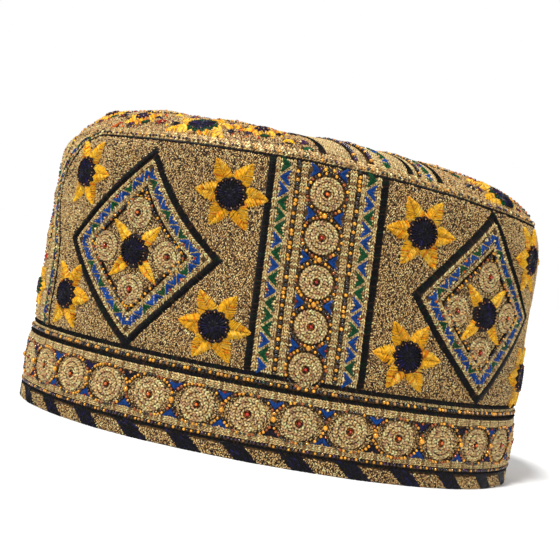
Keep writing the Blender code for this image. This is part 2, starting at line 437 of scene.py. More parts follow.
@dataclass(frozen=True)
class PanelEdge:
    """The front edge of a wall panel: shares of its height, and of the half width of the tongue's foot."""

    foot: float = 84.6
    heights: tuple[float, ...] = (0.0, 0.20, 0.33, 0.45, 0.56, 0.66, 0.75, 0.83, 0.91, 0.96, 1.0)
    halves: tuple[float, ...] = (1.0, 1.0, 0.985, 0.93, 0.81, 0.72, 0.725, 0.83, 0.98, 1.08, 1.24)

    def at(self, share: Array) -> Array:
        """Half the gap between the panels' front edges.

        Args:
            share: Shares of the panel's height.

        Returns:
            Lengths along the outline from the middle of the forehead.
        """
        share = np.clip(share, 0.0, 1.0)
        heights, halves = np.array(self.heights), np.array(self.halves)
        slopes = np.gradient(halves, heights)
        i = np.clip(np.searchsorted(heights, share, side="right") - 1, 0, len(heights) - 2)
        width = heights[i + 1] - heights[i]
        t = (share - heights[i]) / width
        value = (
            (2 * t**3 - 3 * t**2 + 1) * halves[i]
            + (t**3 - 2 * t**2 + t) * width * slopes[i]
            + (3 * t**2 - 2 * t**3) * halves[i + 1]
            + (t**3 - t**2) * width * slopes[i + 1]
        )
        return value * self.foot / 2

    def at_height(self, height: Array) -> Array:
        """Half the gap at heights above the floor."""
        return self.at((height - FORM.band_top) / (FORM.seam - 1.6 - FORM.band_top))


EDGE = PanelEdge()


@dataclass(frozen=True)
class UnitShape:
    """A small shape that is sewn on many times: x along and y across from -0.5 to 0.5, z from 0 to 1."""

    corners: Array
    triangles: Array

    @staticmethod
    def from_bmesh(bm: bmesh.types.BMesh) -> "UnitShape":
        """Reads a small mesh as triangles and frees it."""
        bmesh.ops.triangulate(bm, faces=bm.faces[:])
        bm.verts.index_update()
        corners = np.array([vert.co[:] for vert in bm.verts])
        triangles = np.array([[vert.index for vert in face.verts] for face in bm.faces])
        bm.free()
        return UnitShape(corners, triangles)


def thread_shape(segments: int, pointed: float = 0.35, wedge: float = 0.0) -> UnitShape:
    """One laid thread, rounded across and sinking into the cloth at both ends.

    Args:
        segments: Pieces along it, so that it can follow the cloth.
        pointed: How much narrower its ends are.
        wedge: How much narrower its start is than its end.

    Returns:
        The shape.
    """
    bm = bmesh.new()
    made = bmesh.ops.create_grid(bm, x_segments=segments, y_segments=2, size=0.5)
    for vert in made["verts"]:
        x, y = 2 * vert.co.x, 2 * vert.co.y
        vert.co.z = (1.0 - y * y) * (1.0 - 0.75 * x**4)
        vert.co.y *= (1.0 - pointed * x * x) * (1.0 - wedge * (1.0 - x) / 2)
    return UnitShape.from_bmesh(bm)


def seed_stitch_shape() -> UnitShape:
    """The smallest stitch of the ground, a low ridge."""
    bm = bmesh.new()
    bmesh.ops.create_cone(bm, cap_ends=False, segments=4, radius1=0.55, radius2=0.0, depth=1.0)
    for vert in bm.verts:
        vert.co.z += 0.5
    return UnitShape.from_bmesh(bm)


def bead_shape(columns: int, rows: int) -> UnitShape:
    """A bead, resting on the cloth."""
    bm = bmesh.new()
    bmesh.ops.create_uvsphere(bm, u_segments=columns, v_segments=rows, radius=0.5)
    for vert in bm.verts:
        vert.co.z += 0.5
    return UnitShape.from_bmesh(bm)


SEED = seed_stitch_shape()
SHORT = thread_shape(2)
THREAD = thread_shape(3)
WEDGE = thread_shape(2, pointed=0.12, wedge=0.72)
SMALL_BEAD = bead_shape(6, 4)
BEAD = bead_shape(8, 6)
LARGE_BEAD_FROM = 1.85
BEAD_SQUASH = 0.85


def turned(p: Amount, q: Amount, turn: Amount, ahead: Amount, out: Amount = 0.0) -> tuple[Amount, Amount]:
    """Places on a chart, some way ahead of others and some way out to their left.

    Args:
        p: Where the others are along the chart.
        q: Where they are across it.
        turn: Which way is ahead, in radians from p.
        ahead: How far ahead.
        out: How far out to the left.

    Returns:
        The places along and across the chart.
    """
    return p + ahead * np.cos(turn) - out * np.sin(turn), q + ahead * np.sin(turn) + out * np.cos(turn)


def inside(polygon: Array, p: Array, q: Array) -> Array:
    """Tells which places are inside a polygon.

    Args:
        polygon: Its corners, one a row.
        p: Places along the chart.
        q: Places across it.

    Returns:
        True for each place inside.
    """
    within = np.zeros(len(p), bool)
    for (p1, q1), (p2, q2) in zip(polygon, np.roll(polygon, -1, axis=0)):
        if q1 != q2:
            crosses = (q1 > q) != (q2 > q)
            within ^= crosses & (p < (p2 - p1) * (q - q1) / (q2 - q1) + p1)
    return within


def everywhere(p: Array, q: Array) -> Array:
    """Allows every place of a chart."""
    return np.ones(len(p), bool)


def new_piece(name: str, mesh: bpy.types.Mesh) -> bpy.types.Object:
    """Puts a mesh in the scene as a smooth object."""
    mesh.shade_smooth()
    piece = bpy.data.objects.new(name, mesh)
    bpy.context.scene.collection.objects.link(piece)
    return piece


def piece_from(bm: bmesh.types.BMesh, name: str) -> bpy.types.Object:
    """Turns a finished bmesh into an object and frees it."""
    mesh = bpy.data.meshes.new(name)
    bm.to_mesh(mesh)
    bm.free()
    return new_piece(name, mesh)


def joined_mesh(name: str, points: Array, triangles: Array, threads: Array, yarns: Array) -> bpy.types.Object:
    """Makes a mesh object from arrays of many small copies.

    Args:
        name: The object's name.
        points: One corner a row, in metres.
        triangles: Three corners a row.
        threads: For each corner, how far along and across its own thread it is, in millimetres.
        yarns: For each corner, its linear colour.

    Returns:
        The object.
    """
    mesh = bpy.data.meshes.new(name)
    mesh.vertices.add(len(points))
    mesh.vertices.foreach_set("co", points.astype(np.float32).ravel())
    mesh.loops.add(triangles.size)
    mesh.loops.foreach_set("vertex_index", triangles.astype(np.int32).ravel())
    mesh.polygons.add(len(triangles))
    mesh.polygons.foreach_set("loop_start", np.arange(0, triangles.size, 3, dtype=np.int32))
    layer = mesh.uv_layers.new(name="thread")
    layer.uv.foreach_set("vector", threads[triangles.ravel()].astype(np.float32).ravel())
    dye = mesh.attributes.new("yarn", "FLOAT_COLOR", "POINT")
    rgba = np.concatenate([yarns, np.ones((len(yarns), 1))], axis=1)
    dye.data.foreach_set("color", rgba.astype(np.float32).ravel())
    mesh.update(calc_edges=True)
    return new_piece(name, mesh)


def enlist(piece: bpy.types.Object) -> None:
    """Makes a piece part of the cap and reports it."""
    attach(piece, BODY)
    LOG.info("%s: %d faces", piece.name, len(piece.data.polygons))


@dataclass
class Batch:
    """Many copies of one shape on a chart, one a row."""

    shape: UnitShape
    rows: Array
    colours: Array


class Needlework:
    """Everything that is sewn on one chart, collected by what it is made of."""

    def __init__(self) -> None:
        """Starts with nothing sewn and nothing reserved."""
        self.batches: dict[Kind, list[Batch]] = {}
        self.circles: list[tuple[float, float, float]] = []
        self.polygons: list[Array] = []

    def lay(
        self,
        kind: Kind,
        shape: UnitShape,
        p: Amount,
        q: Amount,
        angle: Amount,
        length: Amount,
        width: Amount,
        height: Amount,
        colours: Array,
        lift: Amount = 0.0,
    ) -> None:
        """Sews copies of a shape.

        Args:
            kind: What they are made of.
            shape: The shape.
            p: Where their middles are along the chart.
            q: Where their middles are across it.
            angle: Which way each points, in radians from p.
            length: Their lengths.
            width: Their widths.
            height: How high they stand.
            colours: One linear colour a row.
            lift: How far above the cloth they lie.
        """
        p = np.atleast_1d(np.asarray(p, float))
        columns = [np.broadcast_to(value, p.shape) for value in (p, q, angle, length, width, height, lift)]
        self.batches.setdefault(kind, []).append(Batch(shape, np.stack(columns, axis=1), colours))

    def beads(self, p: Amount, q: Amount, size: float, yarns: Sequence[Yarn], lift: float = 0.0) -> None:
        """Sews round beads, gilt ones apart from glass ones.

        Args:
            p: Where they are along the chart.
            q: Where they are across it.
            size: Their diameter.
            yarns: Each one's colour.
            lift: How far above the cloth they lie.
        """
        p, q = np.atleast_1d(np.asarray(p, float)), np.atleast_1d(np.asarray(q, float))
        gilt = np.array([yarn in (Yarn.GOLD, Yarn.YELLOW) for yarn in yarns])
        colours = np.clip(dyes(yarns) * DRAWS.uniform(0.75, 1.25, (len(yarns), 1)), 0.0, 1.0)
        sizes = size * DRAWS.uniform(0.9, 1.08, len(p))
        turns = DRAWS.uniform(0.0, math.pi, len(p))
        shape = BEAD if size > LARGE_BEAD_FROM else SMALL_BEAD
        for kind, chosen in ((Kind.GILT, gilt), (Kind.GLASS, ~gilt)):
            if chosen.any():
                place = p[chosen], q[chosen], turns[chosen]
                wide = sizes[chosen]
                self.lay(kind, shape, *place, wide, wide, wide * BEAD_SQUASH, colours[chosen], lift)

    def reserve(self, p: float, q: float, radius: float) -> None:
        """Keeps the ground's stitches out of a circle."""
        self.circles.append((p, q, radius))

    def free(self, p: Array, q: Array) -> Array:
        """Tells which places are outside every reserved circle and polygon.

        Args:
            p: Places along the chart.
            q: Places across it.

        Returns:
            True where the ground may be stitched.
        """
        open_here = everywhere(p, q)
        for centre_p, centre_q, radius in self.circles:
            open_here &= np.hypot(p - centre_p, q - centre_q) > radius
        for polygon in self.polygons:
            open_here &= ~inside(polygon, p, q)
        return open_here

    def trim(self, allowed: Area) -> None:
        """Takes away what lies outside an area.

        Args:
            allowed: Tells for places whether they are in the area.
        """
        for batch in (batch for batches in self.batches.values() for batch in batches):
            keep = allowed(batch.rows[:, 0], batch.rows[:, 1])
            batch.rows = batch.rows[keep]
            batch.colours = batch.colours[keep]

    def finish(self, name: str, chart: Chart) -> dict[Kind, bpy.types.Object]:
        """Wraps everything onto the cap, one piece for each kind.

        Args:
            name: What the pieces' names start with.
            chart: The chart that it was laid out on.

        Returns:
            The new objects by kind.
        """
        made = {}
        for kind, batches in self.batches.items():
            piece = self.wrapped(f"{name}_{kind.value}", batches, chart, FOOT_BRIGHTNESS_UNDER_PAINTED_SHADE[kind])
            piece.data.materials.append(FINISHES[kind].material())
            enlist(piece)
            made[kind] = piece
        return made

    def wrapped(self, name: str, batches: list[Batch], chart: Chart, low: float) -> bpy.types.Object:
        """Makes one joined mesh of batches, with painted shade that darkens each copy's colour towards its
        foot.

        Args:
            name: The piece's name.
            batches: The copies to join.
            chart: The chart that they are on.
            low: How bright each copy's foot is under the painted shade, as a share of its top.

        Returns:
            The new object.
        """
        flat, triangles, threads, yarns = [], [], [], []
        start = 0
        for batch in batches:
            unit = batch.shape.corners
            p, q, angle, length, width, height, lift = (batch.rows[:, [i]] for i in range(7))
            along, across = unit[None, :, 0] * length, unit[None, :, 1] * width
            chart_p, chart_q = turned(p, q, angle, along, across)
            up = lift + unit[None, :, 2] * height
            flat.append(np.stack([chart_p.ravel(), chart_q.ravel(), up.ravel()], axis=1))
            threads.append(np.stack([along.ravel(), across.ravel()], axis=1))
            # Painted shade: the colour darkens from each copy's top towards its foot.
            light = low + (1.0 - low) * unit[None, :, 2, None]
            yarns.append((batch.colours[:, None, :] * light).reshape(-1, 3))
            offsets = start + np.arange(len(batch.rows))[:, None, None] * len(unit)
            triangles.append((batch.shape.triangles[None] + offsets).reshape(-1, 3))
            start += len(batch.rows) * len(unit)
        faces = np.concatenate(triangles)
        if chart.mirrored:
            faces = faces[:, ::-1]
        points = chart.place(*np.concatenate(flat).T)
        points[:, 2] = np.maximum(points[:, 2], 0.0)
        return joined_mesh(name, points, faces, np.concatenate(threads), np.concatenate(yarns))


class Socket(Enum):
    """Socket types of the node groups."""

    VALUE = "NodeSocketFloat"
    COLOUR = "NodeSocketColor"


class Wires:
    """Short ways to place and join shader nodes in one tree."""

    def __init__(self, tree: bpy.types.NodeTree) -> None:
        """Keeps the tree."""
        self.tree = tree

    def fill(self, inputs: bpy.types.bpy_prop_collection, values: dict) -> None:
        """Gives inputs their values.

        Args:
            inputs: The inputs of one node.
            values: By name or number, a socket to join or a constant.
        """
        for key, value in values.items():
            if isinstance(value, bpy.types.NodeSocket):
                self.tree.links.new(value, inputs[key])
            else:
                inputs[key].default_value = value

    def node(self, kind: str, values: Optional[dict] = None, **settings: object) -> bpy.types.Node:
        """Adds a node.

        Args:
            kind: Its type name.
            values: Its inputs' values.
            **settings: Its own settings.

        Returns:
            The node.
        """
        made = self.tree.nodes.new(kind)
        for key, value in settings.items():
            setattr(made, key, value)
        self.fill(made.inputs, values or {})
        return made

    def math(self, operation: str, first: object, second: object = 0.0) -> bpy.types.NodeSocket:
        """Adds a Math node and gives its output."""
        return self.node("ShaderNodeMath", {0: first, 1: second}, operation=operation).outputs[0]

    def plus(self, first: object, second: object) -> bpy.types.NodeSocket:
        """Adds two values."""
        return self.math("ADD", first, second)

    def times(self, first: object, second: object) -> bpy.types.NodeSocket:
        """Multiplies two values."""
        return self.math("MULTIPLY", first, second)

    def swing(self, value: object, reach: object) -> bpy.types.NodeSocket:
        """Turns a value from 0 to 1 into one round zero, of some reach in all."""
        return self.times(self.math("SUBTRACT", value, 0.5), reach)

    def place(self) -> bpy.types.NodeSocket:
        """Where on the cap the surface is, in metres."""
        return self.node("ShaderNodeTexCoord").outputs["Object"]

    def noise(self, scale: float, detail: float = 2.0, distortion: float = 0.0) -> bpy.types.NodeSocket:
        """A cloudy noise over the cap."""
        values = {"Vector": self.place(), "Scale": scale, "Detail": detail, "Distortion": distortion}
        return self.node("ShaderNodeTexNoise", values).outputs["Fac"]

    def dye(self) -> bpy.types.NodeSocket:
        """The colour that each stitch or bead was dyed."""
        return self.node("ShaderNodeAttribute", attribute_name="yarn").outputs["Color"]

    def bump(self, height: object, strength: float, distance: float) -> bpy.types.NodeSocket:
        """A normal that shows a height, in metres."""
        values = {"Height": height, "Strength": strength, "Distance": distance}
        return self.node("ShaderNodeBump", values).outputs["Normal"]

    def ramp(self, value: bpy.types.NodeSocket, stops: Sequence[tuple[float, tuple]]) -> bpy.types.NodeSocket:
        """Adds a colour ramp.

        Args:
            value: What goes in.
            stops: Two places and their linear colours.

        Returns:
            The ramp's colour.
        """
        made = self.node("ShaderNodeValToRGB", {"Fac": value})
        for element, (place, colour) in zip(made.color_ramp.elements, stops):
            element.position = place
            element.color = (*colour, 1.0)
        return made.outputs["Color"]

    def tint(self, colour: object, by: object, share: object, blend: str = "MIX") -> bpy.types.NodeSocket:
        """Mixes a colour with another.

        Args:
            colour: The first colour.
            by: The second.
            share: How much of the second.
            blend: How they mix.

        Returns:
            The mixed colour.
        """
        values = {0: share, 6: colour, 7: by}
        return self.node("ShaderNodeMix", values, data_type="RGBA", blend_type=blend).outputs[2]

    def shaded(self, colour: object, light: object) -> bpy.types.NodeSocket:
        """Makes a colour lighter or darker by a value."""
        grey = self.node("ShaderNodeCombineXYZ", {"X": light, "Y": light, "Z": light}).outputs[0]
        return self.tint(colour, grey, 1.0, "MULTIPLY")


def thread_group() -> bpy.types.NodeTree:
    """Node group of a twisted thread: its colour wavers, its plies show as a bump and as painted shade in the
    grooves between them, pale painted glints speck it, its gloss changes.

    Returns:
        The group.
    """
    tree = bpy.data.node_groups.new("twisted_thread", "ShaderNodeTree")
    usual = {"Plies": 4.0, "Waver": 0.3, "Flecks": 0.3, "Painted Glints": 0.0, "Gloss": 0.4}
    tree.interface.new_socket("Colour", in_out="INPUT", socket_type=Socket.COLOUR.value)
    for label, value in usual.items():
        tree.interface.new_socket(label, in_out="INPUT", socket_type=Socket.VALUE.value).default_value = value
    for label, socket in (("Colour", Socket.COLOUR), ("Roughness", Socket.VALUE), ("Height", Socket.VALUE)):
        tree.interface.new_socket(label, in_out="OUTPUT", socket_type=socket.value)
    wires = Wires(tree)
    given = wires.node("NodeGroupInput").outputs
    uv = wires.node("ShaderNodeUVMap", uv_map="thread").outputs["UV"]
    split = wires.node("ShaderNodeSeparateXYZ", {"Vector": uv}).outputs
    slanted = wires.plus(split["X"], wires.times(split["Y"], 1.6))
    plies = wires.math("SINE", wires.times(slanted, wires.times(given["Plies"], 3.0)))
    raised = wires.plus(wires.times(plies, 0.5), 0.5)
    noise, fine, dirt = wires.noise(900.0), wires.noise(3200.0, 1.0), wires.noise(60.0, 3.0)
    cells = wires.node("ShaderNodeTexVoronoi", {"Vector": wires.place(), "Scale": 1900.0}).outputs["Color"]
    fleck = wires.node("ShaderNodeSeparateXYZ", {"Vector": cells}).outputs["X"]
    # Brightness of the colour: random wavering, painted shade in the grooves between the plies where raised
    # is low, broad random blotches and random flecks.
    light = 1.0
    for value, reach in ((noise, given["Waver"]), (raised, 0.22), (dirt, 0.35), (fleck, given["Flecks"])):
        light = wires.plus(light, wires.swing(value, reach))
    colour = wires.shaded(given["Colour"], wires.math("MAXIMUM", light, 0.05))
    # Painted glints: the brightest specks of a fine noise are tinted pale gold in the colour.
    painted_glint_share = wires.times(wires.math("GREATER_THAN", fine, 0.63), given["Painted Glints"])
    values = {
        "Colour": wires.tint(colour, (1.0, 0.86, 0.58, 1.0), painted_glint_share),
        "Roughness": wires.plus(given["Gloss"], wires.swing(noise, 0.3)),
        "Height": raised,
    }
    wires.node("NodeGroupOutput", values)
    return tree


THREAD_GROUP = thread_group()


@dataclass(frozen=True)
class Finish:
    """A material that is made once and shared."""

    name: str

    def material(self) -> bpy.types.Material:
        """Makes the material at its first use and gives it each time after.

        Returns:
            The material.
        """
        known = bpy.data.materials.get(self.name)
        if known:
            return known
        material = bpy.data.materials.new(self.name)
        material.use_nodes = True
        wires = Wires(material.node_tree)
        wires.fill(material.node_tree.nodes["Principled BSDF"].inputs, self.look(wires))
        return material

    def look(self, wires: Wires) -> dict[str, object]:
        """What goes into the shader, by its inputs' names."""
        raise NotImplementedError


@dataclass(frozen=True)
class ThreadFinish(Finish):
    """A thread, coloured by what each stitch was dyed."""

    plies: float = 4.0
    waver: float = 0.3
    flecks: float = 0.3
    # How much pale gold painted glint is speckled into the colour.
    painted_glints: float = 0.0
    gloss: float = 0.42
    metallic: float = 0.0
    bump: float = 0.35
    specular: float = 0.45

    def look(self, wires: Wires) -> dict[str, object]:
        """What goes into the shader, by its inputs' names."""
        values = {
            "Colour": wires.dye(),
            "Plies": self.plies,
            "Waver": self.waver,
            "Flecks": self.flecks,
            "Painted Glints": self.painted_glints,
            "Gloss": self.gloss,
        }
        twist = wires.node("ShaderNodeGroup", values, node_tree=THREAD_GROUP).outputs
        return {
            "Base Color": twist["Colour"],
            "Roughness": twist["Roughness"],
            "Normal": wires.bump(twist["Height"], self.bump, 0.0001),
            "Metallic": self.metallic,
            "Specular IOR Level": self.specular,
        }


@dataclass(frozen=True)
class BeadFinish(Finish):
    """Coloured glass, or gilt metal."""

    metallic: float = 0.0
    roughness: float = 0.12
    coat: float = 1.0
    specular: float = 0.4

    def look(self, wires: Wires) -> dict[str, object]:
        """What goes into the shader, by its inputs' names."""
        noise = wires.noise(420.0)
        return {
            "Base Color": wires.shaded(wires.dye(), wires.plus(wires.times(noise, 0.7), 0.65)),
            "Roughness": wires.plus(wires.times(noise, 0.2), self.roughness - 0.1),
            "Metallic": self.metallic,
            "Coat Weight": self.coat,
            "Specular IOR Level": self.specular,
        }


@dataclass(frozen=True)
class ClothFinish(Finish):
    """The quilted cloth under the stitches: its own brown, darkened to stand in for the shade in the gaps
    between stitches, and darker still in its hollows as painted shade.
    """

    # Both colours are darkened as painted shade in the gaps between stitches.
    light: tuple[float, float, float] = (92, 66, 34)
    dark: tuple[float, float, float] = (34, 22, 11)
    worm: float = 620.0

    def look(self, wires: Wires) -> dict[str, object]:
        """What goes into the shader, by its inputs' names."""
        noise = wires.noise(self.worm, 3.0, 1.2)
        cells = wires.node("ShaderNodeTexVoronoi", {"Vector": wires.place(), "Scale": self.worm * 1.4})
        height = wires.plus(noise, wires.times(cells.outputs["Distance"], -0.5))
        return {
            # Painted shade: the low parts of the worm texture take the dark colour.
            "Base Color": wires.ramp(height, [(0.12, linear(*self.dark)), (0.42, linear(*self.light))]),
            "Normal": wires.bump(height, 0.6, 0.0004),
            "Roughness": 0.85,
            "Specular IOR Level": 0.2,
        }


@dataclass(frozen=True)
class LiningFinish(Finish):
    """The plain-woven cotton on the inside."""

    thread: tuple[float, float, float] = (172, 146, 106)
    gap: tuple[float, float, float] = (112, 88, 58)
    count: float = 5200.0

    def look(self, wires: Wires) -> dict[str, object]:
        """What goes into the shader, by its inputs' names."""
        split = wires.node("ShaderNodeSeparateXYZ", {"Vector": wires.place()}).outputs
        warp = wires.math("SINE", wires.times(wires.plus(split["X"], split["Y"]), self.count))
        weft = wires.math("SINE", wires.times(split["Z"], self.count))
        weave = wires.plus(wires.times(wires.times(warp, weft), 0.5), 0.5)
        height = wires.plus(wires.times(weave, 0.6), wires.times(wires.noise(180.0, 4.0), 0.4))
        return {
            "Base Color": wires.ramp(height, [(0.2, linear(*self.gap)), (0.65, linear(*self.thread))]),
            "Normal": wires.bump(height, 0.4, 0.0003),
            "Roughness": 0.9,
            "Sheen Weight": 0.2,
        }


@dataclass(frozen=True)
class FloorFinish(Finish):
    """The studio's pale floor."""

    def look(self, wires: Wires) -> dict[str, object]:
        """What goes into the shader, by its inputs' names."""
        shades = [(0.3, (0.90, 0.90, 0.90)), (0.7, (0.93, 0.93, 0.93))]
        return {"Base Color": wires.ramp(wires.noise(6.0, 4.0), shades), "Roughness": 0.9}


FINISHES: dict[Kind, Finish] = {
    Kind.METALLIC: ThreadFinish("beige_metallic_thread", 5.0, 0.5, 0.55, 0.3, 0.38, 0.2, 0.3, 0.25),
    Kind.SATIN: ThreadFinish("satin_thread", 4.0, 0.3, 0.7, 0.04, 0.30, 0.0, 0.35, 0.16),
    Kind.BLACK: ThreadFinish("black_thread", 4.0, 0.5, 0.8, 0.02, 0.40, 0.0, 0.4, 0.14),
    Kind.GLASS: BeadFinish("glass_bead", 0.0, 0.2, 0.45, 0.4),
    Kind.GILT: BeadFinish("gilt_bead", 0.3, 0.24, 0.4, 0.5),
}


@dataclass
class Line:
    """A line on a chart, which rows are sewn along."""

    points: Array
    closed: bool = False
    offset: float = 0.0

    def moved(self, offset: float) -> "Line":
        """The same line, further to its left."""
        return Line(self.points, self.closed, self.offset + offset)

    def places(self, pitch: float) -> tuple[Array, Array, Array]:
        """Spaces places evenly along the line.

        Args:
            pitch: The distance between places, made to fit.

        Returns:
            The places along and across the chart, and the line's direction there.
        """
        line = np.concatenate([self.points, self.points[:1]]) if self.closed else self.points
        steps = np.diff(line, axis=0)
        lengths = np.hypot(steps[:, 0], steps[:, 1])
        reach = np.concatenate([[0.0], np.cumsum(lengths)])
        count = max(int(round(reach[-1] / pitch)), 1)
        places = (np.arange(count) + 0.5) * reach[-1] / count
        which = np.clip(np.searchsorted(reach, places, side="right") - 1, 0, len(steps) - 1)
        share = (places - reach[which]) / lengths[which]
        found = line[which] + steps[which] * share[:, None]
        angle = np.arctan2(steps[which, 1], steps[which, 0])
        return *turned(found[:, 0], found[:, 1], angle, 0.0, self.offset), angle


def through(p: Amount, q: Amount, closed: bool = False) -> Line:
    """A line through places of a chart."""
    return Line(np.stack(np.broadcast_arrays(p, q), axis=1), closed)


def circle(p: float, q: float, radius: float) -> Line:
    """A closed line round a place."""
    return through(*turned(p, q, np.linspace(0.0, 2 * math.pi, 24, endpoint=False), radius), closed=True)


def shaken(values: Array, reach: float) -> Array:
    """Moves each value a little by chance."""
    return values + DRAWS.normal(0.0, reach, len(values))


@dataclass
class ChainStitch:
    """A braid of slanting stitches, as couched metal thread looks."""

    pitch: float = 1.1
    width: float = 1.5
    height: float = 0.6
    slant: float = 0.45
    yarns: tuple[Yarn, ...] = palette("pale beige pale beige pale tan")

    def sew(self, work: Needlework, line: Line) -> None:
        """Sews the braid.

        Args:
            work: Where it is sewn.
            line: The line that it follows.
        """
        for side in (-1, 1):
            p, q, angle = line.moved(side * self.width / 4).places(self.pitch)
            p = shaken(p, 0.08)
            turn = shaken(angle - side * self.slant, 0.22)
            colours = dyed(self.yarns, len(p), 0.35)
            length = self.pitch * DRAWS.uniform(1.1, 1.5, len(p))
            work.lay(Kind.METALLIC, SHORT, p, q, turn, length, self.width * 0.48, self.height, colours, 0.1)


@dataclass
class SatinLine:
    """A black band of short stitches laid nearly square across it, a few of them in another dark yarn."""

    width: float = 2.4
    pitch: float = 0.5
    height: float = 0.7
    lean: float = 0.22
    odd_yarns: tuple[Yarn, ...] = palette("bottle navy brown")
    odd_share: float = 0.22

    def sew(self, work: Needlework, line: Line) -> None:
        """Sews the band.

        Args:
            work: Where it is sewn.
            line: The line that it follows.
        """
        p, q, angle = line.places(self.pitch)
        colours = dyed(Yarn.BLACK, len(p), 0.4)
        odd = DRAWS.uniform(size=len(p)) < self.odd_share
        colours[odd] = mixed(self.odd_yarns, [1.0] * len(self.odd_yarns), int(odd.sum()), 0.3)
        turn = shaken(angle + math.pi / 2 + self.lean, 0.05)
        length = self.width * DRAWS.uniform(0.95, 1.1, len(p))
        work.lay(Kind.BLACK, SHORT, p, q, turn, length, self.pitch * 1.5, self.height, colours)


@dataclass
class BeadRow:
    """Small beads strung along a line, in colours that take turns, with some by chance."""

    size: float = 1.45
    pitch: float = 1.55
    yarns: tuple[Yarn, ...] = palette("black gold")
    wander: float = 0.12
    lift: float = 0.05
    mix: float = 0.15

    def sew(self, work: Needlework, line: Line) -> None:
        """Strings the beads.

        Args:
            work: Where they are sewn.
            line: The line that they follow.
        """
        p, q, _ = line.places(self.pitch)
        p, q = shaken(p, self.wander), shaken(q, self.wander)
        turns = np.arange(len(p))
        odd = DRAWS.uniform(size=len(p)) < self.mix
        turns[odd] += DRAWS.integers(0, len(self.yarns), int(odd.sum()))
        work.beads(p, q, self.size, [self.yarns[i % len(self.yarns)] for i in turns], self.lift)


@dataclass
class Coil:
    """A round medallion: braids wound in rings round a red bead, with dark stitches between the rings."""

    radius: float = 6.3
    dome: float = 0.5
    centre_size: float = 1.4
    rings: tuple[float, ...] = (0.915, 0.79, 0.60, 0.48, 0.31)
    slants: tuple[float, ...] = (0.6, -0.6, 0.6, -0.6, 0.45)
    gaps: tuple[float, ...] = (0.70, 0.395)
    collar: float = 0.155
    yarns: tuple[Yarn, ...] = palette("pale pale beige pale pale beige pinkish")

    def ring(self, p: float, q: float, share: float, pitch: float) -> tuple[Array, Array, Array]:
        """Places round one ring of the coil.

        Args:
            p: The coil's middle along the chart.
            q: Its middle across the chart.
            share: The ring's radius, as a share of the coil's.
            pitch: The distance between places.

        Returns:
            The places along and across the chart, and which way the ring runs there.
        """
        radius = self.radius * share
        count = max(int(round(2 * math.pi * radius / pitch)), 6)
        turns = np.arange(count) * 2 * math.pi / count + DRAWS.uniform(0.0, 1.0)
        return *turned(p, q, turns, radius), turns + math.pi / 2

    def sew(self, work: Needlework, p: float, q: float) -> None:
        """Winds the coil at a place.

        Args:
            work: Where it is sewn.
            p: Its middle along the chart.
            q: Its middle across the chart.
        """
        wide = self.radius * 0.15
        for share, slant in zip(self.rings, self.slants):
            ring_p, ring_q, run = self.ring(p, q, share, self.radius * 0.2)
            run = shaken(run + slant, 0.12)
            length = self.radius * DRAWS.uniform(0.23, 0.29, len(run))
            colours = dyed(self.yarns, len(run), 0.3)
            lift = 0.1 + self.dome * (1.0 - share**2)
            work.lay(Kind.METALLIC, SHORT, ring_p, ring_q, run, length, wide, 0.85, colours, lift)
        for share in self.gaps:
            places = np.array(self.ring(p, q, share, 0.9))
            places = places[:, DRAWS.uniform(size=places.shape[1]) < 0.72]
            colours = mixed(palette("brown rust tan pinkish"), [3, 2, 3, 2], places.shape[1], 0.3)
            work.lay(Kind.SATIN, SEED, *places, 0.85, 0.38, 0.6, colours, 0.45 + self.dome * (1.0 - share**2))
        work.beads(p, q, self.centre_size, [one_of("red red orange")], 0.2 + self.dome * 0.6)
        places = self.ring(p, q, self.collar, 0.8)
        colours = mixed(palette("brown rust tan"), [3, 3, 1], len(places[0]))
        work.lay(Kind.SATIN, SHORT, *places, 1.0, 0.5, 0.6, colours, 0.55)
        work.reserve(p, q, self.radius + 0.1)


@dataclass
class DashRing:
    """Dark and gold dashes on an arc round a coil."""

    radius: float = 6.7
    start: float = 0.0
    sweep: float = 2 * math.pi
    pitch: float = 1.25

    def sew(self, work: Needlework, p: float, q: float) -> None:
        """Sews the dashes round a place.

        Args:
            work: Where they are sewn.
            p: The middle along the chart.
            q: The middle across the chart.
        """
        count = max(int(self.radius * self.sweep / self.pitch), 3)
        turns = self.start + self.sweep * (np.arange(count) + 0.5) / count
        colours = dyed(palette("black gold brown yellow"), count, 0.3)
        places = turned(p, q, turns, self.radius)
        work.lay(Kind.SATIN, SHORT, *places, turns + math.pi / 2, 1.15, 0.62, 0.6, colours, 0.25)


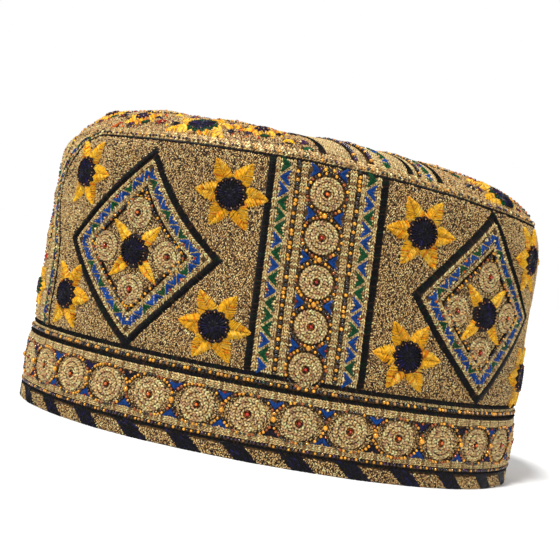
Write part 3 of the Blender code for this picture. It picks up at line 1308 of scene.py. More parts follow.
@dataclass
class Petals:
    """Leaf-shaped petals in two halves of slanting satin stitches, with a thin dark rust thread between them
    that stands in for the shade in the groove where the halves meet.
    """

    count: int = 6
    inner: float = 5.4
    tip: float = 14.0
    width: float = 6.7
    turn: float = 0.0
    threads: int = 21
    slope: float = 1.0
    places: tuple[float, ...] = (0.0, 0.2, 0.45, 0.7, 0.88, 1.0)
    widths: tuple[float, ...] = (0.95, 1.0, 0.86, 0.57, 0.28, 0.07)
    skipped: tuple[int, ...] = ()
    yarns: tuple[Yarn, ...] = palette("yellow straw amber")
    shares: tuple[float, ...] = (6.0, 1.8, 0.7)

    def directions(self) -> list[float]:
        """Which way each petal points."""
        return [self.turn + i * 2 * math.pi / self.count for i in range(self.count) if i not in self.skipped]

    def sew(self, work: Needlework, p: float, q: float) -> None:
        """Sews the petals round a place, and keeps the ground's stitches out of them.

        Args:
            work: Where they are sewn.
            p: Their middle along the chart.
            q: Their middle across the chart.
        """
        long = self.tip - self.inner
        for turn in self.directions():
            self.petal(work, p, q, turn)
            for share, size in ((0.2, 0.5), (0.5, 0.38), (0.75, 0.22)):
                work.reserve(*turned(p, q, turn, self.inner + long * share), self.width * size)

    def petal(self, work: Needlework, p: float, q: float, turn: float) -> None:
        """Sews one petal.

        Args:
            work: Where it is sewn.
            p: The flower's middle along the chart.
            q: The flower's middle across the chart.
            turn: Which way the petal points.
        """
        long = self.tip - self.inner
        share = (np.arange(self.threads) + 0.5) / self.threads
        reach = self.inner + long * share
        for side in (-1, 1):
            half = self.width / 2 * np.interp(share, self.places, self.widths)
            half = half * DRAWS.uniform(0.88, 1.1, self.threads)
            root = np.maximum(reach - half / math.tan(self.slope), self.inner - 0.2)
            amber = DRAWS.uniform(size=self.threads) < 0.24 - 0.8 * share
            colours = mixed(self.yarns, self.shares, self.threads, 0.18)
            colours[amber] = dyed(Yarn.AMBER, int(amber.sum()), 0.12)
            place = turned(p, q, turn, (root + reach) / 2, side * half / 2)
            run = shaken(turn + np.arctan2(side * half, reach - root), 0.05)
            length, thick = np.hypot(half, reach - root) * 1.12, long / self.threads * 1.55
            work.lay(Kind.SATIN, SHORT, *place, run, length, thick, 1.25, colours, 0.12)
        # Painted shade: a thin rust thread along the midrib darkens the groove between the two halves.
        midrib_shade_thread = turned(p, q, turn, self.inner + long / 2)
        work.lay(Kind.SATIN, SHORT, *midrib_shade_thread, turn, long * 0.72, 0.42, 0.25, dyed(Yarn.RUST, 1), 0.2)


@dataclass
class Disc:
    """A flower's dark middle: radial satin stitches with a rim set with tiny dots."""

    radius: float = 6.2
    yarns: tuple[Yarn, ...] = palette("navy indigo navy black")
    rim: tuple[Yarn, ...] = palette("brown black navy")
    dots: tuple[Yarn, ...] = palette("tan brown pinkish brown rust")

    def sew(self, work: Needlework, p: float, q: float) -> None:
        """Sews the disc at a place.

        Args:
            work: Where it is sewn.
            p: Its middle along the chart.
            q: Its middle across the chart.
        """
        for inner, outer, count, lift in ((0.2, 2.3, 10, 1.3), (1.8, self.radius - 0.9, 26, 1.0)):
            turns = np.arange(count) * 2 * math.pi / count + DRAWS.uniform(0.0, 0.5)
            place = turned(p, q, turns, (inner + outer) / 2)
            run, thick = shaken(turns, 0.06), 2 * math.pi * outer / count * 0.9
            colours = mixed(self.yarns, [5, 1.0, 3, 3], count, 0.5)
            work.lay(Kind.BLACK, THREAD, *place, run, (outer - inner) * 1.1, thick, 0.8, colours, lift)
        for inset, lift in ((0.75, 0.95), (0.35, 0.35)):
            place = self.around(p, q, inset, 2 * math.pi * (self.radius - inset) / 0.6)
            colours, run = dyed(self.rim, len(place[0]), 0.3), place[2] + math.pi / 2 - 0.08
            work.lay(Kind.BLACK, SHORT, *place[:2], run, 1.9, 0.9, 0.85, colours, lift)
        place = self.around(p, q, 1.05, 2 * math.pi * self.radius / 1.35)
        work.lay(Kind.SATIN, SEED, *place, 0.65, 0.42, 0.45, dyed(self.dots, len(place[0]), 0.3), 1.68)
        work.reserve(p, q, self.radius + 0.2)

    def around(self, p: float, q: float, inset: float, count: float) -> tuple[Array, Array, Array]:
        """Evenly spaced places round the disc.

        Args:
            p: Its middle along the chart.
            q: Its middle across the chart.
            inset: How far in from its edge they are.
            count: How many, before rounding down.

        Returns:
            The places along and across the chart, and their directions from the middle.
        """
        turns = np.arange(int(count)) * 2 * math.pi / int(count)
        return *turned(p, q, turns, self.radius - inset), turns


@dataclass
class Flower:
    """A disc with its petals."""

    disc: Disc = field(default_factory=Disc)
    petals: Petals = field(default_factory=Petals)

    def sew(self, work: Needlework, p: float, q: float) -> None:
        """Sews the flower at a place.

        Args:
            work: Where it is sewn.
            p: Its middle along the chart.
            q: Its middle across the chart.
        """
        self.petals.sew(work, p, q)
        self.disc.sew(work, p, q)


@dataclass
class TriangleRow:
    """Notched satin triangles that point one way and the other by turns, with a zigzag braid between them."""

    width: float = 4.3
    pitch: float = 4.5
    base: float = 5.8
    notch: float = 0.25
    threads: int = 9
    yarns: tuple[Yarn, ...] = palette("blue blue green green")
    knots: float = 0.6
    braid: ChainStitch = field(default_factory=lambda: ChainStitch(pitch=1.0, width=1.0, height=0.5))

    def sew(self, work: Needlework, line: Line) -> None:
        """Sews the row.

        Args:
            work: Where it is sewn.
            line: The line that it follows.
        """
        for share in (-0.4, -0.2, 0.0, 0.2, 0.4):
            p, q, angle = line.moved(share * self.width).places(1.15)
            turn = shaken(angle, 0.9)
            work.lay(Kind.METALLIC, SEED, p, q, turn, 1.4, 0.8, 0.38, dyed(self.braid.yarns, len(p), 0.3))
        p, q, angle = line.places(self.pitch)
        sides = np.where(np.arange(len(p)) % 2, 1.0, -1.0)
        for i in range(len(p)):
            yarn = self.yarns[i % len(self.yarns)]
            self.triangle(work, p[i], q[i], angle[i] + sides[i] * math.pi / 2, yarn)
        if len(p) > 1:
            self.braid.sew(work, through(*turned(p, q, angle, 0.0, sides * self.width * 0.62)))

    def triangle(self, work: Needlework, p: float, q: float, turn: float, yarn: Yarn) -> None:
        """Sews one triangle, whose threads spread from its point to its notched foot.

        Args:
            work: Where it is sewn.
            p: Its middle along the chart.
            q: Its middle across the chart.
            turn: Which way it points.
            yarn: Its colour.
        """
        spread = np.linspace(-0.92, 0.92, self.threads)
        point, out = self.width * 0.40, spread * self.base / 2
        run = self.width * (self.notch * (1.0 - np.abs(spread)) - 0.44) - point
        place = turned(p, q, turn, point + run / 2, out / 2)
        along, length = turn + np.arctan2(out, run), np.hypot(run, out) * 1.04
        thick = self.base / self.threads * 1.6
        work.lay(Kind.SATIN, WEDGE, *place, along, length, thick, 0.75, dyed(yarn, self.threads, 0.35), 0.2)
        if DRAWS.uniform() < self.knots:
            place = turned(p, q, turn, -self.width * 0.36)
            colours = mixed(palette("red orange pinkish pale"), [2, 1, 3, 4], 1)
            work.lay(Kind.SATIN, SEED, *place, turn, 1.1, 0.9, 0.7, colours, 0.4)


@dataclass
class GroundFill:
    """The ground: short beige stitches that wander like worms over the cloth."""

    pitch_along: float = 0.84
    pitch_across: float = 0.58
    length: float = 1.0
    width: float = 0.52
    height: float = 0.42
    lift: float = 0.0
    yarns: tuple[Yarn, ...] = palette("pale beige tan pinkish brown")
    shares: tuple[float, ...] = (3.0, 8.0, 2.2, 0.5, 1.8)

    def sew(self, work: Needlework, low: Corner, high: Corner, allowed: Area = everywhere) -> None:
        """Fills an area.

        Args:
            work: Where it is sewn.
            low: The area's lowest p and q.
            high: The area's highest p and q.
            allowed: Tells for places whether they are in the area.
        """
        columns = int((high[0] - low[0]) / self.pitch_along)
        rows = int((high[1] - low[1]) / self.pitch_across)
        grid_p, grid_q = np.meshgrid(np.arange(columns) + 0.5, np.arange(rows) + 0.5)
        p = low[0] + (grid_p + 0.5 * (grid_q.astype(int) % 2)).ravel() * self.pitch_along
        q = low[1] + grid_q.ravel() * self.pitch_across
        p, q = shaken(p, 0.17), shaken(q, 0.12)
        keep = allowed(p, q) & work.free(p, q)
        p, q = p[keep], q[keep]
        flow = 1.3 * np.sin(p / 4.1 + 1.4 * np.sin(q / 3.3)) + 1.2 * np.cos(q / 3.7 + p / 6.3)
        turn = shaken(flow, 0.6)
        length = self.length * DRAWS.uniform(0.75, 1.2, len(p))
        width = self.width * DRAWS.uniform(0.8, 1.25, len(p))
        height = self.height * DRAWS.uniform(0.6, 1.4, len(p))
        colours = mixed(self.yarns, self.shares, len(p), 0.28)
        work.lay(Kind.METALLIC, SEED, p, q, turn, length, width, height, colours, self.lift)


FLOWER_YARNS = palette("navy plum navy indigo")


@dataclass
class Diamond:
    """A diamond standing on its point, framed in black, with four small coils round a flower."""

    left: Corner = (-34.4, 0.5)
    right: Corner = (34.3, 2.0)
    top: Corner = (3.4, 37.4)
    bottom: Corner = (1.0, -34.2)
    bows: tuple[float, float, float, float] = (0.0, -2.6, 0.8, 1.6)
    depth: float = 24.6
    line: float = 2.5
    chain_in: float = 2.2
    triangles_in: float = 4.9
    second_chain_in: float = 7.5
    beads_in: float = 9.1
    coil: float = 5.8
    coil_reach: float = 14.3
    strip: tuple[Yarn, ...] = palette("blue blue blue green blue blue green")
    flecks: tuple[Yarn, ...] = palette("black gold black gold black rust")

    def side(self, i: int, inwards: float, over: float = 0.0) -> Array:
        """One side of the diamond round the origin, bowed as the cloth was drawn.

        Args:
            i: Which side, from the bottom corner round by the right.
            inwards: How far in from the black line.
            over: How far it runs on past both corners.

        Returns:
            Points along it.
        """
        share = 1.0 - inwards / self.depth
        corners = np.array([self.bottom, self.right, self.top, self.left]) * share
        start, end = corners[i], corners[(i + 1) % 4]
        along = (end - start) / np.hypot(*(end - start))
        step = np.linspace(0.0, 1.0, 9)[:, None]
        bow = self.bows[i] * share * 4 * step * (1.0 - step)
        points = start + (end - start) * step + np.array([along[1], -along[0]]) * bow
        points[0] -= along * over
        points[-1] += along * over
        return points

    def ring(self, inwards: float) -> Array:
        """Corners of the whole outline, some way in from its black line."""
        return np.concatenate([self.side(i, inwards)[:-1] for i in range(4)])

    def sew(self, work: Needlework, p: float, q: float) -> None:
        """Sews the diamond at a place.

        Args:
            work: Where it is sewn.
            p: Its middle along the chart.
            q: Its middle across the chart.
        """
        thin = ChainStitch(pitch=0.95, width=0.6, height=0.4)
        rows = (
            (0.0, 1.0, SatinLine(width=self.line)),
            (self.chain_in, 0.0, ChainStitch(width=1.2)),
            (self.triangles_in, 0.0, TriangleRow(3.6, 3.15, 4.5, 0.22, 7, self.strip, 0.5, thin)),
            (self.second_chain_in, 0.0, ChainStitch(width=1.2)),
            (self.beads_in, 0.0, SatinLine(width=1.15, height=0.3)),
            (self.beads_in, 0.0, BeadRow(1.2, 1.3, self.flecks, lift=0.25, mix=0.3)),
        )
        here = np.array([p, q])
        for inwards, over, row in rows:
            for i in range(4):
                row.sew(work, Line(self.side(i, inwards, over) + here))
        for turn in np.arange(4) * math.pi / 2:
            place = turned(p, q, turn, self.coil_reach)
            Coil(self.coil).sew(work, *place)
            DashRing(self.coil + 0.5, turn - 1.5, 3.0).sew(work, *place)
            work.reserve(*place, self.coil + 0.3)
        petals = Petals(count=4, inner=5.2, tip=15.0, width=4.6, turn=math.pi / 4, threads=15)
        Flower(petals=petals).sew(work, p, q)
        inner = self.ring(self.beads_in + 1.1) + here
        GroundFill().sew(work, tuple(inner.min(0)), tuple(inner.max(0)), partial(inside, inner))
        work.polygons.append(self.ring(-self.line / 2 - 0.1) + here)


@dataclass
class VerticalBand:
    """An upright band: black lines, chains, triangles and beads on both sides of a column of medallions."""

    low: float = 32.8
    high: float = 110.0
    line_out: float = 20.8
    line: float = 2.6
    medallions: tuple[float, ...] = (99.8, 84.1, 68.1, 52.0, 36.6)
    coil: float = 6.1
    ring: float = 7.3
    ground: float = 7.4
    front_yarns: tuple[Yarn, ...] = palette(
        "blue green blue green green green blue green blue green blue green green green blue blue green"
    )
    back_yarns: tuple[Yarn, ...] = palette("blue green blue blue green blue blue green green")

    def sew(self, work: Needlework, p: float) -> None:
        """Sews the band.

        Args:
            work: Where it is sewn.
            p: Its middle along the chart.
        """
        for side, yarns in ((-1, self.front_yarns), (1, self.back_yarns)):
            rows = (
                (self.line_out, SatinLine(width=self.line)),
                (18.75, ChainStitch(width=1.45)),
                (15.75, TriangleRow(yarns=yarns)),
                (12.75, ChainStitch(width=1.45)),
                (11.05, BeadRow(1.6, 1.5, palette("black gold black gold brown"), mix=0.3)),
                (9.45, ChainStitch(width=1.3)),
                (8.2, ChainStitch(width=1.3)),
            )
            for out, row in rows:
                row.sew(work, through(p + side * out, np.array([self.low, self.high])))
        for q in self.medallions:
            Coil(self.coil).sew(work, p, q)
            beads = BeadRow(1.3, 1.35, palette("black gold brown rust gold"), mix=0.3)
            beads.sew(work, circle(p, q, self.ring))
            work.reserve(p, q, self.ring + 0.5)
        fill = TriangleRow(width=3.9, base=5.2, knots=0.5)
        between = [(a + b) / 2 for a, b in zip(self.medallions, self.medallions[1:])]
        for q in between:
            work.beads(p, q, 2.1, [Yarn.GOLD], 0.2)
        for q in between + [self.medallions[0] + 7.7]:
            for side in (-1, 1):
                turn = math.pi / 2 + side * math.pi / 2
                fill.triangle(work, p + side * 5.0, q, turn, one_of("blue blue indigo"))
                work.reserve(p + side * 5.2, q, 2.2)
        row = palette("plum yellow black gold plum")
        work.beads(p + np.arange(-2, 3) * 1.6, np.full(5, 108.3), 1.4, row, 0.1)
        low, high = (p - self.ground, self.low), (p + self.ground, self.high)
        GroundFill().sew(work, low, high, lambda a, b: np.abs(a - p) < self.ground)
        wide = self.line_out + self.line / 2 + 0.2
        sides, ends = p + np.array([-wide, wide, wide, -wide]), np.array([0.0, 0.0, 200.0, 200.0])
        work.polygons.append(np.stack([sides, ends], axis=1))


@dataclass
class WallPanel:
    """All that is sewn on one wall panel, laid out as the left one."""

    lean: float = 0.053
    band: float = 16.5
    top_gap: float = 0.5
    front_diamond: Corner = (-54.2, 67.3)
    back_diamond: Corner = (86.7, 66.4)
    front_flowers: tuple[Corner, ...] = ((-86.2, 93.7), (-87.7, 46.1))
    flowers: tuple[Corner, ...] = (
        (-18.1, 93.9),
        (-18.3, 45.9),
        (53.4, 92.2),
        (54.1, 46.9),
        (117.0, 90.0),
        (124.0, 43.5),
    )

    def build(self) -> None:
        """Sews both panels."""
        work = Needlework()
        Diamond().sew(work, *self.front_diamond)
        Diamond((-32.6, 3.2), (34.8, 1.6), (0.6, 37.6), (2.8, -32.6)).sew(work, *self.back_diamond)
        VerticalBand().sew(work, self.band)
        for place in self.front_flowers:
            Flower(petals=Petals(skipped=(3,))).sew(work, *place)
        for place in self.flowers:
            Flower().sew(work, *place)
        GroundFill().sew(work, (-118.0, 32.6), (QUARTER + 4.0, 111.0), self.allowed)
        work.trim(self.on_panel)
        work.finish("wall_panel_left", side_chart(False, self.lean))
        work.finish("wall_panel_right", side_chart(True, self.lean))

    def on_panel(self, p: Array, q: Array, gap: float = 0.35) -> Array:
        """Tells which places are on the panel, up to its edges and some way below the seam."""
        out = p - self.lean * (q - MID_HEIGHT)
        below = q < FORM.seam_height(FORM.angle(out + QUARTER)) - gap
        return below & (out > -QUARTER + EDGE.at_height(q) + 0.7) & (out < QUARTER - 0.3)

    def allowed(self, p: Array, q: Array) -> Array:
        """Tells which places of the panel take the ground's stitches."""
        return self.on_panel(p, q, self.top_gap) & (q > FORM.band_top + 0.9)


@dataclass
class BorderBand:
    """The band of medallions that goes all the way round above the hem."""

    count: int = 30
    start: float = -93.0
    middle: float = 17.0
    coil: float = 6.4
    wave: float = 7.2
    upper: tuple[Yarn, ...] = palette("gold black tan bottle gold black navy")
    lower: tuple[Yarn, ...] = palette("gold black tan navy gold plum black")
    strand: tuple[Yarn, ...] = palette("black gold brown rust gold")

    def build(self) -> None:
        """Sews the band."""
        work = Needlework()
        pitch = FORM.girth / self.count
        rows = (
            (FORM.band_top, SatinLine(width=1.7, height=0.8)),
            (FORM.band_top - 4.2, SatinLine(width=1.4, height=0.8)),
            (FORM.hem_top, SatinLine(width=0.95, height=0.6)),
            (FORM.band_top - 2.5, BeadRow(1.4, 1.4, self.upper, wander=0.08, mix=0.5)),
            (FORM.band_top - 1.3, ChainStitch(pitch=1.0, width=0.9, height=0.5)),
            (7.3, BeadRow(1.2, 1.37, self.lower, wander=0.06, mix=0.5)),
            *((q, ChainStitch(width=1.4)) for q in (8.6, 9.9, 24.7, 26.0)),
        )
        for q, row in rows:
            row.sew(work, through(np.linspace(-2 * QUARTER, 2 * QUARTER, 121), q))
        for k in range(self.count):
            p = self.wrapped(self.start + pitch * k)
            Coil(self.coil).sew(work, p, self.middle)
            between = self.wrapped(p + pitch / 2)
            self.fillers(work, between)
            work.beads(between, self.middle, 2.1, [Yarn.GOLD], 0.45)
        self.strands(work, pitch)
        for p, q, radius in list(work.circles):
            work.reserve(p - FORM.girth, q, radius)
            work.reserve(p + FORM.girth, q, radius)
        GroundFill().sew(work, (-2 * QUARTER, 10.8), (2 * QUARTER, 23.8))
        pieces = work.finish("border_band", side_chart())
        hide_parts("band_upper_cord", "band_lower_cord", "hem_cord")

    def wrapped(self, p: Amount) -> Amount:
        """Brings places round the cap into the chart."""
        return (p + 2 * QUARTER) % FORM.girth - 2 * QUARTER

    def swing(self, waves: Amount) -> Amount:
        """How far a strand is from the middle of the band, after a number of waves."""
        return self.wave * np.sqrt(np.clip(1.0 - np.abs(2 * (waves % 1.0) - 1.0) ** 2.3, 0.0, 1.0))

    def strands(self, work: Needlework, pitch: float) -> None:
        """Strings the two strands that swing round the medallions and cross between them.

        Args:
            work: Where they are sewn.
            pitch: The distance between medallions.
        """
        start = self.start - pitch / 2
        fine, coarse = np.arange(0.0, FORM.girth, 0.4), np.arange(0.0, FORM.girth, pitch / 12)
        for side in (-1, 1):
            p, q, _ = through(fine, self.middle + side * self.swing(fine / pitch)).places(1.4)
            picks = np.arange(len(p)) + DRAWS.integers(0, 2, len(p))
            yarns = [self.strand[i % len(self.strand)] for i in picks]
            work.beads(self.wrapped(p + start), q, 1.25, yarns, 0.1)
            for place in coarse:
                work.reserve(self.wrapped(start + place), self.middle + side * self.swing(place / pitch), 0.9)

    def fillers(self, work: Needlework, p: float) -> None:
        """Sews dark triangles above and below the bead between two medallions.

        Args:
            work: Where they are sewn.
            p: The place between the medallions.
        """
        row = TriangleRow(width=3.6, base=5.4, knots=0.5)
        for up in (-1, 1):
            yarn = one_of("blue indigo navy blue blue")
            row.triangle(work, p, self.middle + up * 5.0, -up * math.pi / 2, yarn)
            work.reserve(p, self.middle + up * 4.9, 2.3)


@dataclass
class HemStripes:
    """The hem: a rolled edge with dark stripes that slant back as they go down."""

    count: int = 27
    width: float = 8.4
    slant: float = 1.15
    top: float = 5.4
    row: float = 0.6
    across: int = 6
    thickness: float = 3.4
    lift: float = 0.3
    insets: tuple[float, ...] = (0.0, -0.045, -0.06, -0.04, 0.0, 0.08, 0.22, 0.5, 0.78, 0.93, 1.0, 0.99, 0.96)
    heights: tuple[float, ...] = (1.0, 0.78, 0.55, 0.34, 0.18, 0.06, 0.0, 0.0, 0.0, 0.07, 0.22, 0.6, 1.0)

    def build(self) -> None:
        """Rolls the hem and sews its stripes."""
        self.roll()
        work = Needlework()
        middles = ((np.arange(self.across) + 0.5) / self.across - 0.5) * self.width
        length, thick = self.width / self.across * 1.7, self.row * 1.6
        for k in range(self.count):
            foot = -2 * QUARTER + FORM.girth / self.count * (k + 0.35)
            for i in range(int(self.top / self.row)):
                q = 0.25 + (i + 0.5) * self.row
                p = shaken(foot + (self.top - q) * self.slant + middles, 0.2)
                place = p, DRAWS.normal(q, 0.1, self.across), DRAWS.normal(-0.6, 0.3, self.across)
                colours = mixed(palette("black navy indigo"), [5, 4, 1], self.across, 0.35)
                work.lay(Kind.BLACK, SHORT, *place, length, thick, 0.5, colours, self.lift)
            edge = np.array([foot - self.width / 2 - self.slant, self.top + 1.0])
            drop = np.array([self.slant, -1.0]) * (self.top + 2.0)
            wide = np.array([self.width, 0.0])
            work.polygons.append(np.array([edge, edge + wide, edge + wide + drop, edge + drop]))
        GroundFill(lift=self.lift - 0.05).sew(work, (-2 * QUARTER, 0.2), (2 * QUARTER, self.top))
        work.finish("hem_binding", side_chart())

    def roll(self) -> None:
        """Makes the rolled cloth of the hem."""
        bm = bmesh.new()
        rows = len(self.heights)
        made = bmesh.ops.create_grid(bm, x_segments=320, y_segments=rows, size=0.5)
        flat = np.array([vert.co[:] for vert in made["verts"]]) + 0.5
        corner = np.rint(flat[:, 1] * rows).astype(int) % rows
        inset = np.array(self.insets)[corner] * self.thickness
        length = flat[:, 0] * FORM.girth
        height = np.array(self.heights)[corner] * (FORM.hem_top - 0.25)
        points = FORM.side(length, height)
        along = FORM.side(length + 0.2, height) - FORM.side(length - 0.2, height)
        normal = np.stack([along[:, 1], -along[:, 0], np.zeros(len(points))], axis=1)
        normal /= np.linalg.norm(normal, axis=1, keepdims=True)
        points = points + normal * (softness(points) - inset)[:, None]
        for vert, point in zip(made["verts"], points):
            vert.co = Vector(point) * MM
        bmesh.ops.remove_doubles(bm, verts=bm.verts, dist=SAME_PLACE)
        bmesh.ops.recalc_face_normals(bm, faces=bm.faces)
        piece = piece_from(bm, "hem_binding_cloth")
        piece.data.materials.append(QUILTED.material())
        enlist(piece)
        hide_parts("hem_binding")


@dataclass
class SeamTrim:
    """The black piping and the rows beside it, along the crown seam and down the panels' front edges."""

    line: float = 0.7
    rows: tuple[float, ...] = (1.2, 2.55, 3.85)
    beads: tuple[Yarn, ...] = palette("tan black gold navy pale plum gold bottle brown")

    def build(self) -> None:
        """Sews the trim."""
        corner = float(EDGE.at(np.array([1.0]))[0])
        p = np.linspace(-QUARTER + corner, 3 * QUARTER - corner, 200)
        seam = through(p, FORM.seam_height(FORM.angle(p + QUARTER)))
        share = np.linspace(1.0, 0.0, 60)
        edge = EDGE.at(share)
        q = FORM.band_top + (FORM.seam_height(FORM.angle(edge)) - FORM.band_top) * share
        up, down = through(edge[::-1] - QUARTER, q[::-1]), through(-QUARTER - edge, q)
        piping = Needlework()
        for line in (up, seam, down):
            SatinLine(width=self.line, pitch=0.45).sew(piping, line)
        pieces = piping.finish("crown_piping", side_chart())
        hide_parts("crown_piping")
        work = Needlework()
        BeadRow(1.05, 1.75, self.beads, wander=0.2, lift=0.4, mix=0.6).sew(work, through(p, 1.3))
        for inset in self.rows:
            start = -QUARTER + corner - inset * 0.7
            run = np.linspace(start, 2 * QUARTER - start, 200)
            ChainStitch(width=1.4, yarns=palette("beige beige pale tan")).sew(work, through(run, inset))
        work.finish("crown_border", seam_chart())
        edges = Needlework()
        for line in (up, down):
            ChainStitch(width=1.3).sew(edges, line.moved(1.2))
            BeadRow(1.0, 1.8, self.beads, wander=0.2, lift=0.4, mix=0.6).sew(edges, line.moved(1.25))
        edges.finish("tongue_border", side_chart())


@dataclass
class Spine:
    """The middle band of the crown, which runs on down the tongue: coils between beads and chains."""

    gap: float = 15.2
    coil: float = 5.6

    def sew(self, work: Needlework, start: Corner, end: Corner) -> None:
        """Sews the band.

        Args:
            work: Where it is sewn.
            start: Where its middle line starts on the chart.
            end: Where it ends.
        """
        middle = np.array([start, end])
        rows = (
            (12.6, SatinLine(width=2.0)),
            (10.9, ChainStitch(width=1.4)),
            (9.5, BeadRow(1.5, 1.6, palette("plum gold black orange navy"), mix=0.4)),
            (8.1, ChainStitch(width=1.4)),
        )
        for side in (-1, 1):
            for out, row in rows:
                row.sew(work, Line(middle, offset=side * out))
        count = int(np.hypot(*(middle[1] - middle[0])) / self.gap)
        row = TriangleRow(width=3.8, base=5.6, threads=7, knots=0.0)
        step = (middle[1] - middle[0]) / count
        angle = math.atan2(step[1], step[0])
        for k in range(count):
            p, q = middle[0] + step * (k + 0.5)
            Coil(self.coil).sew(work, p, q)
            BeadRow(1.2, 1.4, palette("black gold brown"), mix=0.4).sew(work, circle(p, q, self.coil + 1.0))
            work.reserve(p, q, self.coil + 1.6)
            p, q = middle[0] + step * k
            work.beads(p, q, 2.0, [Yarn.GOLD], 0.2)
            for side in (-1, 1):
                place = turned(p, q, angle, 0.0, side * 4.6)
                row.triangle(work, *place, angle - side * math.pi / 2, palette("blue green")[k % 2])
                work.reserve(*place, 2.0)


@dataclass
class Tongue:
    """The forehead tongue: rows along its edges, the middle band, and coils and a flower on each side."""

    coils: tuple[tuple[float, float, float], ...] = ((20.6, 66.5, 4.4), (18.3, 83.5, 3.6), (22.0, 101.5, 5.2))
    buds: tuple[tuple[float, float, Yarn], ...] = (
        (21.5, 58.0, Yarn.RED),
        (18.8, 75.2, Yarn.BLUE),
        (19.5, 92.0, Yarn.GREEN),
    )
    flower: Corner = (23.4, 46.0)

    def edges(self, inset: float) -> tuple[Line, Line]:
        """The tongue's two edges, moved inwards."""
        q = np.linspace(FORM.band_top + 1.0, 108.0, 60)
        half = EDGE.at_height(q) - inset
        return through(-QUARTER - half, q), through(-QUARTER + half, q)

    def build(self) -> None:
        """Sews the tongue."""
        work = Needlework()
        rows = (
            (4.1, TriangleRow(4.0, 3.5, 4.8, 0.3, yarns=palette("green blue green indigo"))),
            (7.2, ChainStitch(width=1.4)),
            (8.8, ChainStitch(width=1.4)),
        )
        for inset, row in rows:
            for edge in self.edges(inset):
                row.sew(work, edge)
        Spine().sew(work, (-QUARTER, FORM.band_top + 1.0), (-QUARTER, 107.9))
        disc = Disc(3.9, FLOWER_YARNS, palette("green bottle"), palette("green tan"))
        petals = Petals(inner=3.3, tip=8.8, width=4.2, threads=9)
        fill = TriangleRow(width=3.0, base=4.2, threads=7, knots=0.8)
        for side in (-1, 1):
            Flower(disc, petals).sew(work, -QUARTER + side * self.flower[0], self.flower[1])
            for out, q, radius in self.coils:
                place = -QUARTER + side * out, q
                Coil(radius, centre_size=1.2).sew(work, *place)
                DashRing(radius + 0.65).sew(work, *place)
                work.reserve(*place, radius + 1.2)
            for out, q, yarn in self.buds:
                place = -QUARTER + side * out, q
                fill.triangle(work, *place, math.pi / 2, yarn)
                work.reserve(*place, 2.0)
        GroundFill().sew(work, (-QUARTER - 60.0, 32.6), (-QUARTER + 60.0, 111.0), self.allowed)
        work.trim(self.on_tongue)
        work.finish("tongue", side_chart())

    def on_tongue(self, p: Array, q: Array) -> Array:
        """Tells which places are on the tongue, below the line where the crown's chart takes over."""
        half = np.abs(p + QUARTER)
        below = q < FORM.seam_height(FORM.angle(p + QUARTER)) - 0.1
        return (half < EDGE.at_height(q) - 1.0) & below & (q > FORM.band_top + 0.7)

    def allowed(self, p: Array, q: Array) -> Array:
        """Tells which places of the tongue take the ground's stitches."""
        half = np.abs(p + QUARTER)
        return self.on_tongue(p, q) & (half < EDGE.at_height(q) - 9.9) & ((half > 13.8) | (half < 7.3))


